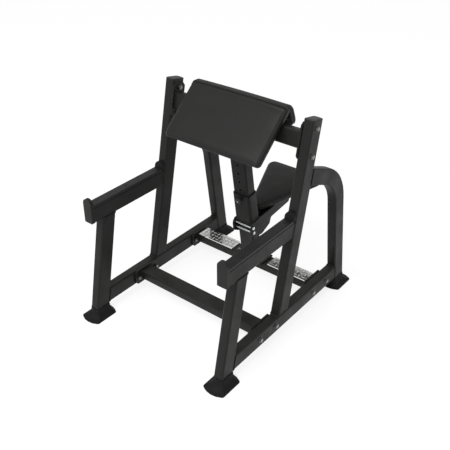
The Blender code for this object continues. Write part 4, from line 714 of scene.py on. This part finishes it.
def bake(piece):
    """Turns a piece's modifiers into its mesh."""
    graph = bpy.context.evaluated_depsgraph_get()
    graph.update()
    mesh = bpy.data.meshes.new_from_object(piece.evaluated_get(graph))
    piece.modifiers.clear()
    piece.data = mesh


def vectors(items, field="co"):
    """One row for each of a mesh's points or normals."""
    values = np.zeros(len(items) * 3)
    items.foreach_get(field, values)
    return values.reshape(-1, 3)


def move_points(mesh, points):
    mesh.vertices.foreach_set("co", points.ravel())
    mesh.update()


def blow_up(piece, held, normals):
    """Presses the foam out against its cover: cloth under pressure, held where it is glued."""
    start = vectors(piece.data.vertices)
    piece.vertex_groups.new(name="held").add([int(i) for i in np.nonzero(held)[0]], 1.0, "REPLACE")
    cloth = piece.modifiers.new("cover", "CLOTH")
    cloth.settings.use_pressure = True
    cloth.settings.uniform_pressure_force = PRESSURE
    cloth.settings.vertex_group_mass = "held"
    cloth.settings.effector_weights.gravity = 0.0
    cloth.settings.tension_stiffness = 20.0
    cloth.settings.compression_stiffness = 20.0
    cloth.settings.bending_stiffness = 2.0
    for step in range(1, CLOTH_FRAMES + 1):
        bpy.context.scene.frame_set(step)
    graph = bpy.context.evaluated_depsgraph_get()
    moved = vectors(piece.evaluated_get(graph).data.vertices) - start
    piece.modifiers.clear()
    bpy.context.scene.frame_set(1)
    # The foam is dense and evens out the cover's folds, so only its broad crown is kept.
    ends = np.zeros(len(piece.data.edges) * 2, dtype=int)
    piece.data.edges.foreach_get("vertices", ends)
    first, second = ends.reshape(-1, 2).T
    count = np.bincount(ends, minlength=len(start))
    crown = np.clip((moved * normals).sum(axis=1), 0.0, None)
    for _ in range(EVENING_ROUNDS):
        crown[held] = 0.0
        around = np.bincount(first, crown[second], len(start)) + np.bincount(second, crown[first],
                                                                             len(start))
        crown = 0.3 * crown + 0.7 * around / count
    limit = DRAWN_IN + LOFT
    start += normals * (limit * np.tanh(crown / limit))[:, None]
    move_points(piece.data, start)


def cushion(name, node, is_glued, stretched=None):
    """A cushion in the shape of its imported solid, with the loft of foam under vinyl."""
    shape = bmesh.new()
    shape.from_mesh(frame["nodes"][node].data)
    bmesh.ops.remove_doubles(shape, verts=shape.verts, dist=1e-5)
    mesh = bpy.data.meshes.new(name)
    shape.to_mesh(mesh)
    shape.free()
    piece = bpy.data.objects.new(name, mesh)
    bpy.context.scene.collection.objects.link(piece)
    cells = piece.modifiers.new("cells", "REMESH")
    cells.mode = "VOXEL"
    cells.voxel_size = VOXEL
    relax = piece.modifiers.new("relax", "SMOOTH")
    relax.factor, relax.iterations = 0.5, 4
    bake(piece)
    points, normals = vectors(piece.data.vertices), vectors(piece.data.vertex_normals, "vector")
    held = is_glued(points, normals)
    points[~held] -= normals[~held] * DRAWN_IN
    if stretched:
        points = stretched(points)
    move_points(piece.data, points)
    blow_up(piece, held, normals)
    finer = piece.modifiers.new("finer", "SUBSURF")
    finer.levels = 1
    bake(piece)
    piece.data.materials.clear()
    piece.data.materials.append(black_vinyl)
    piece.data.shade_smooth()
    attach(piece, frame["nodes"][node]["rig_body"])
    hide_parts(node)
    return piece


BORDER_SEAM, PANEL_SEAM_DEEP, SEAM_WIDE = 0.0010, 0.0075, 0.0036
PUFF_AWAY, PUFF_WIDE, SEAM_INSET, BESIDE = 0.009, 0.005, 0.010, 0.0045
STITCH_LONG, STITCH_PITCH, THREAD = 0.0050, 0.0075, 0.0006
RAY_START, RAY_REACH, RAY_PITCH = 0.05, 0.2, 0.0015


def on_surface(piece, line):
    """Where rays from outside, given as (start, direction) pairs, meet a piece."""
    tree = BVHTree.FromPolygons([v.co for v in piece.data.vertices],
                                [p.vertices for p in piece.data.polygons])
    met = [tree.ray_cast(start, way, RAY_REACH) for start, way in line]
    return [(hit[0], hit[1]) for hit in met if hit[0] is not None]


def draw_in(piece, lines, deep):
    """Pulls the cover in along its seams, with a slight puff beside them."""
    seam = [p for line in lines for p, _ in on_surface(piece, line)]
    nearest = KDTree(len(seam))
    for i, p in enumerate(seam):
        nearest.insert(p, i)
    nearest.balance()
    points, normals = vectors(piece.data.vertices), vectors(piece.data.vertex_normals, "vector")
    gaps = np.array([nearest.find(p)[2] for p in points])
    valley = -deep * np.exp(-(gaps / SEAM_WIDE) ** 2)
    puff = 0.3 * deep * np.exp(-((gaps - PUFF_AWAY) / PUFF_WIDE) ** 2)
    points += normals * (valley + puff)[:, None]
    move_points(piece.data, points)


def rods(places, length, radius):
    """Small round-ended rods, such as stitches and staples, each (middle, way, normal)."""
    points, faces, sides = [], [], 6
    stations = ((-0.5, 0.25), (-0.44, 0.8), (-0.2, 1.0), (0.2, 1.0), (0.44, 0.8), (0.5, 0.25))
    for middle, way, normal in places:
        side = way.cross(normal).normalized()
        start = len(points)
        for share, swell in stations:
            for j in range(sides):
                a = 2 * math.pi * j / sides
                points.append(middle + way * (share * length)
                              + (side * math.cos(a) + normal * math.sin(a)) * (radius * swell))
        faces += grid(start, len(stations), sides, capped=True)
    return points, faces


def stitches(piece, lines):
    """Thread that shows beside a seam, one stitch at each pitch."""
    places = []
    for line in lines:
        met = on_surface(piece, line)
        walked = 0.0
        for (a, _), (b, normal) in zip(met, met[1:]):
            walked += (b - a).length
            if walked >= STITCH_PITCH and (b - a).length < 0.01:
                walked = 0.0
                places.append((b + normal * (THREAD * 0.4), (b - a).normalized(), normal))
    return rods(places, STITCH_LONG, THREAD)


def straight(a, b, way):
    """Rays along a straight line, all in one direction."""
    count = max(2, int((b - a).length / RAY_PITCH))
    return [(a.lerp(b, i / count), way) for i in range(count + 1)]


# Arm pad. One cushion bent over two boards, its front leaf under the upper arms and a
# short rear leaf. The deep seam just in front of the ridge joins the cover's two panels.

RIDGE = Vector((0, 0.1072, 1.1150))
FRONT_SLOPE, REAR_SLOPE = math.radians(41.9), math.radians(68.0)
FRONT_DOWN = Vector((0, -math.cos(FRONT_SLOPE), -math.sin(FRONT_SLOPE)))
FRONT_OUT = Vector((0, -math.sin(FRONT_SLOPE), math.cos(FRONT_SLOPE)))
REAR_DOWN = Vector((0, math.cos(REAR_SLOPE), -math.sin(REAR_SLOPE)))
REAR_OUT = Vector((0, math.sin(REAR_SLOPE), math.cos(REAR_SLOPE)))
PAD_HALF, FRONT_LEAF, REAR_LEAF, PAD_FOAM, RIDGE_RADIUS = 0.270, 0.349, 0.140, 0.032, 0.050
REAR_ROLL, ROLL_START, PANEL_SEAM, BEND_STEPS = 0.008, 0.09, -0.51, 40
REAR_REACH = REAR_LEAF + REAR_ROLL


def pad_glued(points, normals):
    """The faces that lie on the two boards."""
    offset = points - np.array(RIDGE)
    front, rear = [(offset @ np.array(out) < -PAD_FOAM + 0.004) & (normals @ np.array(out) < -0.7)
                   for out in (FRONT_OUT, REAR_OUT)]
    return front | rear


def rolled_edge(points):
    """The foam of the rear leaf hangs a little below its board, as a soft roll."""
    along = (points - np.array(RIDGE)) @ np.array(REAR_DOWN)
    behind = (points - np.array(RIDGE)) @ np.array(REAR_OUT) > -PAD_FOAM - 0.002
    share = np.clip((along - ROLL_START) / (REAR_LEAF - ROLL_START), 0.0, 1.0) * behind
    return points + share[:, None] * np.array(REAR_DOWN * REAR_ROLL)


arm_cushion = cushion("arm_pad_cushion", "arm_pad", pad_glued, rolled_edge)
ridge_half = FRONT_DOWN.angle(REAR_DOWN) / 2
ridge_middle = RIDGE + (FRONT_DOWN + REAR_DOWN).normalized() * (RIDGE_RADIUS / math.sin(ridge_half))
ridge_touch = RIDGE_RADIUS / math.tan(ridge_half)


def over_ridge(x, inset=0.0):
    """Rays down on to the pad along its profile, from the front edge to the rear one."""
    side = ACROSS * x
    front_end = RIDGE + FRONT_DOWN * (FRONT_LEAF - SEAM_INSET - inset) + FRONT_OUT * RAY_START
    front_touch = RIDGE + FRONT_DOWN * ridge_touch + FRONT_OUT * RAY_START
    rear_touch = RIDGE + REAR_DOWN * ridge_touch + REAR_OUT * RAY_START
    rear_end = RIDGE + REAR_DOWN * (REAR_REACH - SEAM_INSET - inset) + REAR_OUT * RAY_START
    bend = []
    for step in range(BEND_STEPS + 1):
        out = FRONT_OUT.slerp(REAR_OUT, step / BEND_STEPS)
        bend.append((ridge_middle + out * (RIDGE_RADIUS + RAY_START) + side, -out))
    front = straight(front_end + side, front_touch + side, -FRONT_OUT)
    rear = straight(rear_touch + side, rear_end + side, -REAR_OUT)
    return front + bend[1:-1] + rear


SEAM_HALF = PAD_HALF - SEAM_INSET
THREAD_HALF = SEAM_HALF - BESIDE


def across_pad(down, out, distance, half=SEAM_HALF):
    """Rays along a straight seam near a leaf's free edge."""
    middle = RIDGE + down * distance + out * RAY_START
    return straight(middle - ACROSS * half, middle + ACROSS * half, -out)


def along_crest(offset, half=SEAM_HALF):
    """The seam between front and rear panels, just in front of the ridge's highest line."""
    out = Vector((0, math.sin(offset), math.cos(offset)))
    middle = ridge_middle + out * (RIDGE_RADIUS + RAY_START)
    return straight(middle - ACROSS * half, middle + ACROSS * half, -out)


pad_seams = [over_ridge(sign * SEAM_HALF) for sign in (-1, 1)]
pad_seams += [across_pad(FRONT_DOWN, FRONT_OUT, FRONT_LEAF - SEAM_INSET),
              across_pad(REAR_DOWN, REAR_OUT, REAR_REACH - SEAM_INSET)]
draw_in(arm_cushion, pad_seams, BORDER_SEAM)
draw_in(arm_cushion, [along_crest(PANEL_SEAM)], PANEL_SEAM_DEEP)
pad_threads = [over_ridge(sign * THREAD_HALF, BESIDE) for sign in (-1, 1)]
pad_threads += [across_pad(FRONT_DOWN, FRONT_OUT, FRONT_LEAF - SEAM_INSET - BESIDE, THREAD_HALF),
                across_pad(REAR_DOWN, REAR_OUT, REAR_REACH - SEAM_INSET - BESIDE, THREAD_HALF),
                along_crest(PANEL_SEAM - BESIDE / RIDGE_RADIUS, THREAD_HALF)]


def bonded_thread(name):
    """Bonded polyester thread: twisted, duller than the vinyl, and as dark."""
    material, tree, place = new_material(name)
    twist = add_node(tree, "ShaderNodeTexWave",
                     {"Vector": place, "Scale": 400.0, "Distortion": 1.5},
                     bands_direction="DIAGONAL")
    return finish(material, tree, twist.outputs["Fac"], ("#111111", "#232323"), None,
                  (0.4, 0.0002, twist.outputs["Fac"]), {"Roughness": 0.6, "Sheen Weight": 0.2})


black_thread = bonded_thread("bonded_black_polyester_thread")
add_piece("arm_pad_stitching", *stitches(arm_cushion, pad_threads), black_thread, "frame", "vinyl")


# Boards. Birch plywood stained black before the cushions are glued on; the cover's hem is
# turned over their edges and held by a row of wire staples.

def black_plywood(name):
    """Stained plywood: open grain along the board, in darker and paler streaks."""
    material, tree, place = new_material(name)
    # Real birch grain is under 1 mm wide; it is drawn at 4 mm so that it shows.
    grained = add_node(tree, "ShaderNodeMapping", {"Vector": place, "Scale": (18.0, 260.0, 260.0)})
    grain = add_node(tree, "ShaderNodeTexNoise",
                     {"Vector": grained.outputs[0], "Scale": 1.0, "Detail": 5.0})
    return finish(material, tree, grain.outputs[0], ("#100f0e", "#2b2723"),
                  (grain.outputs[0], 0.3, 0.7, 0.6, 0.78), (0.3, 0.0005, grain.outputs[0]), {})


stained_plywood = black_plywood("black_stained_birch_plywood")
dress(["pad_board_front", "pad_board_rear", "seat_board"], stained_plywood)

COVER_INSET, BOARD_THICK, HEM_THICK, HEM_STEP = 0.0044, 0.012, 0.0010, 0.006
HEM_START, HEM_LAP, PAD_HEM_IN, SEAT_HEM_IN = 0.050, 0.008, 0.032, 0.030
STAPLE_LONG, STAPLE_WIRE, STAPLE_LIFT, STAPLE_EVERY = 0.011, 0.0007, 0.0003, 6
PAD_STAPLES_IN, SEAT_STAPLES_IN = 0.024, 0.022


def hem_mesh(path, outward, place, top, bottom, turned_in, closed):
    """The cover's edge: down from the foam, round the board's side, then turned in under it.
    path and outward are flat pairs; place makes a point of a pair and a depth."""
    under = bottom + HEM_THICK
    profile = [(0.0, top), (0.0006, top + 0.005), (0.0, bottom - 0.006), (-0.0022, bottom - 0.0015),
               (-0.0060, under), (-turned_in, under), (-turned_in, bottom + 0.0001),
               (-0.0064, bottom + 0.0001), (-0.0034, bottom - 0.002), (-0.0016, bottom - 0.006),
               (-0.0014, top)]
    points, sides = [], len(profile)
    for i, ((a, b), (oa, ob)) in enumerate(zip(path, outward)):
        pull = 1 + 0.10 * math.sin(i * 1.7) + 0.06 * math.sin(i * 0.61)
        for out, depth in profile:
            reach = out * pull if out <= -turned_in else out
            points.append(place(a + oa * reach, b + ob * reach, depth))
    faces = [(a, d, c, b) for a, b, c, d in grid(0, len(path), sides, wrap_rows=closed)]
    if not closed:
        faces.append(tuple(range(sides)))
        faces.append(tuple((len(path) - 1) * sides + j for j in reversed(range(sides))))
    return points, faces


def board_edge(half, near, far, corner=0.018):
    """A board's free edge, down one side, across and up the other, with outward pairs."""
    line = [Vector((half, near, 0)), Vector((half, far - corner, 0))]
    for step in range(1, CORNER_STEPS + 1):
        a = math.pi / 2 * step / CORNER_STEPS
        line.append(Vector((half - corner + corner * math.cos(a),
                            far - corner + corner * math.sin(a), 0)))
    line += [Vector((-p.x, p.y, 0)) for p in reversed(line)]
    path = evenly(line, HEM_STEP, closed=False)
    outward = []
    for i, p in enumerate(path):
        run = path[min(i + 1, len(path) - 1)] - path[max(i - 1, 0)]
        outward.append((run.normalized().y, -run.normalized().x))
    return [(p.x, p.y) for p in path], outward


def staple_row(path, outward, place, depth, inward):
    """Staples along a hem, each lying square to the edge."""
    places = []
    for i in range(STAPLE_EVERY // 2, len(path), STAPLE_EVERY):
        (a, b), (oa, ob) = path[i], outward[i]
        middle = place(a - oa * inward, b - ob * inward, depth)
        way = (place(a, b, depth) - middle).normalized()
        normal = (place(a, b, depth + 0.01) - place(a, b, depth)).normalized()
        side = way.cross(normal).normalized()
        places.append((middle, (way + side * 0.5).normalized(), normal))
    return rods(places, STAPLE_LONG, STAPLE_WIRE)


board_back = PAD_FOAM + BOARD_THICK + GAP
for leaf, down, out, far in (("front", FRONT_DOWN, FRONT_OUT, FRONT_LEAF - COVER_INSET),
                             ("rear", REAR_DOWN, REAR_OUT, REAR_REACH - COVER_INSET)):
    def leaf_place(a, b, depth, down=down, out=out):
        return RIDGE + ACROSS * a + down * b - out * depth

    path, outward = board_edge(PAD_HALF - COVER_INSET, HEM_START, far)
    hem = hem_mesh(path, outward, leaf_place, PAD_FOAM - HEM_LAP, board_back, PAD_HEM_IN, False)
    add_piece(f"pad_hem_{leaf}", *hem, black_vinyl, "frame", "vinyl")
    row = staple_row(path, outward, leaf_place, board_back + HEM_THICK + STAPLE_LIFT,
                     PAD_STAPLES_IN)
    add_piece(f"pad_staples_{leaf}", *row, zinc_plate, "frame", "zinc")

bracket_screws = []
BUTTON = [(0.0085, 0.0), (0.0085, 0.0008), (0.0070, 0.0028), (0.0045, 0.0038),
          (0.0028, 0.0038, HEX),
          (0.0026, 0.0018, HEX), (0.0008, 0.0016, HEX)]
BRACKET_SCREW_X, STRAP_THICK = (-0.150, 0.150), 0.004
for x in BRACKET_SCREW_X:
    for down, out, distance in ((FRONT_DOWN, FRONT_OUT, 0.196), (FRONT_DOWN, FRONT_OUT, 0.100),
                                (REAR_DOWN, REAR_OUT, 0.100)):
        face = RIDGE + ACROSS * x + down * distance - out * (board_back + STRAP_THICK)
        bracket_screws.append((face, -out, BUTTON, False))
edge_split(add_piece("pad_bracket_screws", *turned(bracket_screws), zinc_plate, "frame", "zinc"))


# Seat. A rounded wedge of foam, narrow at the column and broad behind, with a boxed
# edge: the top panel is sewn to a side band all round.

SEAT_FRONT_Y, SEAT_UNDERSIDE, SEAT_TILT = 0.21704, 0.38912, math.radians(7.3)
SEAT_LONG, SEAT_NOSE, SEAT_REAR_HALF, SEAT_REAR_CORNER = 0.4062, 0.041, 0.167, 0.040
SEAT_BOARD, SEAT_FOAM, ARC_STEPS = 0.012, 0.034, 12
tilted = Matrix.Translation((0, SEAT_FRONT_Y, SEAT_UNDERSIDE)) @ Matrix.Rotation(SEAT_TILT, 4, "X")
seat_up = tilted.to_3x3() @ UP


def seat_place(a, b, depth):
    """A point by its place across and along the seat, and its depth under the board's top."""
    return tilted @ Vector((a, b, SEAT_BOARD - depth))


def seat_line(inset, pitch):
    """The seat's outline from above, drawn in all round, as an even closed line."""
    nose, corner = SEAT_NOSE, SEAT_REAR_CORNER
    rear_x, rear_y = SEAT_REAR_HALF - corner, SEAT_LONG - corner
    aim = math.atan2(rear_y - nose, rear_x)
    touch = aim - math.acos((nose - corner) / math.hypot(rear_x, rear_y - nose))
    half = []
    for step in range(ARC_STEPS + 1):
        a = -math.pi / 2 + (touch + math.pi / 2) * step / ARC_STEPS
        half.append(Vector(((nose - inset) * math.cos(a), nose + (nose - inset) * math.sin(a), 0)))
    for step in range(ARC_STEPS + 1):
        a = touch + (math.pi / 2 - touch) * step / ARC_STEPS
        half.append(Vector((rear_x + (corner - inset) * math.cos(a),
                            rear_y + (corner - inset) * math.sin(a), 0)))
    loop = half + [Vector((-p.x, p.y, 0)) for p in reversed(half[1:])]
    return evenly(loop, pitch)


def seat_glued(points, normals):
    """The underside, which lies on the board."""
    return normals @ np.array(seat_up) < -0.7


seat_cushion = cushion("seat_cushion", "seat_pad", seat_glued)


def seat_seam(inset):
    """Rays down on to the seat along its outline."""
    line = seat_line(inset, RAY_PITCH)
    height = SEAT_BOARD + SEAT_FOAM + RAY_START
    return [(tilted @ Vector((p.x, p.y, height)), -seat_up) for p in line + line[:1]]


draw_in(seat_cushion, [seat_seam(SEAM_INSET)], BORDER_SEAM)
add_piece("seat_stitching", *stitches(seat_cushion, [seat_seam(SEAM_INSET + BESIDE)]), black_thread,
          "seat_carriage", "vinyl")

seat_path = seat_line(COVER_INSET, HEM_STEP)
outward = []
for i, p in enumerate(seat_path):
    run = (seat_path[(i + 1) % len(seat_path)] - seat_path[i - 1]).normalized()
    outward.append((run.y, -run.x))
seat_path = [(p.x, p.y) for p in seat_path]
hem = hem_mesh(seat_path, outward, seat_place, -HEM_LAP, SEAT_BOARD, SEAT_HEM_IN, True)
add_piece("seat_hem", *hem, black_vinyl, "seat_carriage", "vinyl")
row = staple_row(seat_path, outward, seat_place, SEAT_BOARD + HEM_THICK + STAPLE_LIFT,
                 SEAT_STAPLES_IN)
add_piece("seat_staples", *row, zinc_plate, "seat_carriage", "zinc")

SEAT_PLATE_THICK, SEAT_SCREW_X, SEAT_SCREW_Y = 0.005, (-0.040, 0.040), (0.110, 0.230)
seat_screws = [(tilted @ Vector((x, y, -GAP - SEAT_PLATE_THICK)), -seat_up, BUTTON, False)
               for x in SEAT_SCREW_X for y in SEAT_SCREW_Y]
edge_split(add_piece("seat_plate_screws", *turned(seat_screws), zinc_plate, "seat_carriage",
                     "zinc"))


# The set: a pale floor under a plain bright room, with one wide soft light from above. The
# floor glows only to the lens and in mirrors, and the room is dimmer to all but the lens.

FLOOR_REACH, FLOOR_GLOW, ROOM_LIGHT, LAMP_WIDE, LAMP_POWER = 40.0, 0.80, 0.65, 3.0, 85.0
floor = bpy.data.objects.new("floor", bpy.data.meshes.new("floor"))
floor.data.from_pydata([(x * FLOOR_REACH, y * FLOOR_REACH, 0)
                        for x, y in ((-1, -1), (1, -1), (1, 1), (-1, 1))], [], [(0, 1, 2, 3)])
bpy.context.scene.collection.objects.link(floor)
floor_material, tree, _ = new_material("pale_floor")
seen = add_node(tree, "ShaderNodeLightPath")
mirrored = add_node(tree, "ShaderNodeMath",
                    {0: seen.outputs["Is Camera Ray"], 1: seen.outputs["Is Glossy Ray"]},
                    operation="MAXIMUM")
glow = add_node(tree, "ShaderNodeMath", {0: mirrored.outputs[0], 1: FLOOR_GLOW},
                operation="MULTIPLY")
pale = add_node(tree, "ShaderNodeBsdfPrincipled",
                {"Base Color": linear("#909090"), "Roughness": 1.0, "Specular IOR Level": 0.0,
                 "Emission Color": linear("#ffffff"), "Emission Strength": glow.outputs[0]})
add_node(tree, "ShaderNodeOutputMaterial", {"Surface": pale.outputs[0]})
floor.data.materials.append(floor_material)

room = bpy.data.worlds.new("room")
bpy.context.scene.world = room
room.use_nodes = True
tree = room.node_tree
tree.nodes.clear()
seen = add_node(tree, "ShaderNodeLightPath")
shown = add_node(tree, "ShaderNodeMath",
                 {0: seen.outputs["Is Camera Ray"], 1: 1 - ROOM_LIGHT, 2: ROOM_LIGHT},
                 operation="MULTIPLY_ADD")
sky = add_node(tree, "ShaderNodeBackground",
               {"Color": linear("#ffffff"), "Strength": shown.outputs[0]})
add_node(tree, "ShaderNodeOutputWorld", {"Surface": sky.outputs[0]})

lamp = bpy.data.objects.new("soft_light", bpy.data.lights.new("soft_light", "AREA"))
lamp.data.shape = "DISK"
lamp.data.size = LAMP_WIDE
lamp.data.energy = LAMP_POWER
lamp.location = Vector((0.1, -2.3, 3.3))
lamp.rotation_euler = (Vector((0, 0, 0.5)) - lamp.location).to_track_quat("-Z", "Y").to_euler()
bpy.context.scene.collection.objects.link(lamp)

bpy.context.scene.view_settings.view_transform = "Standard"
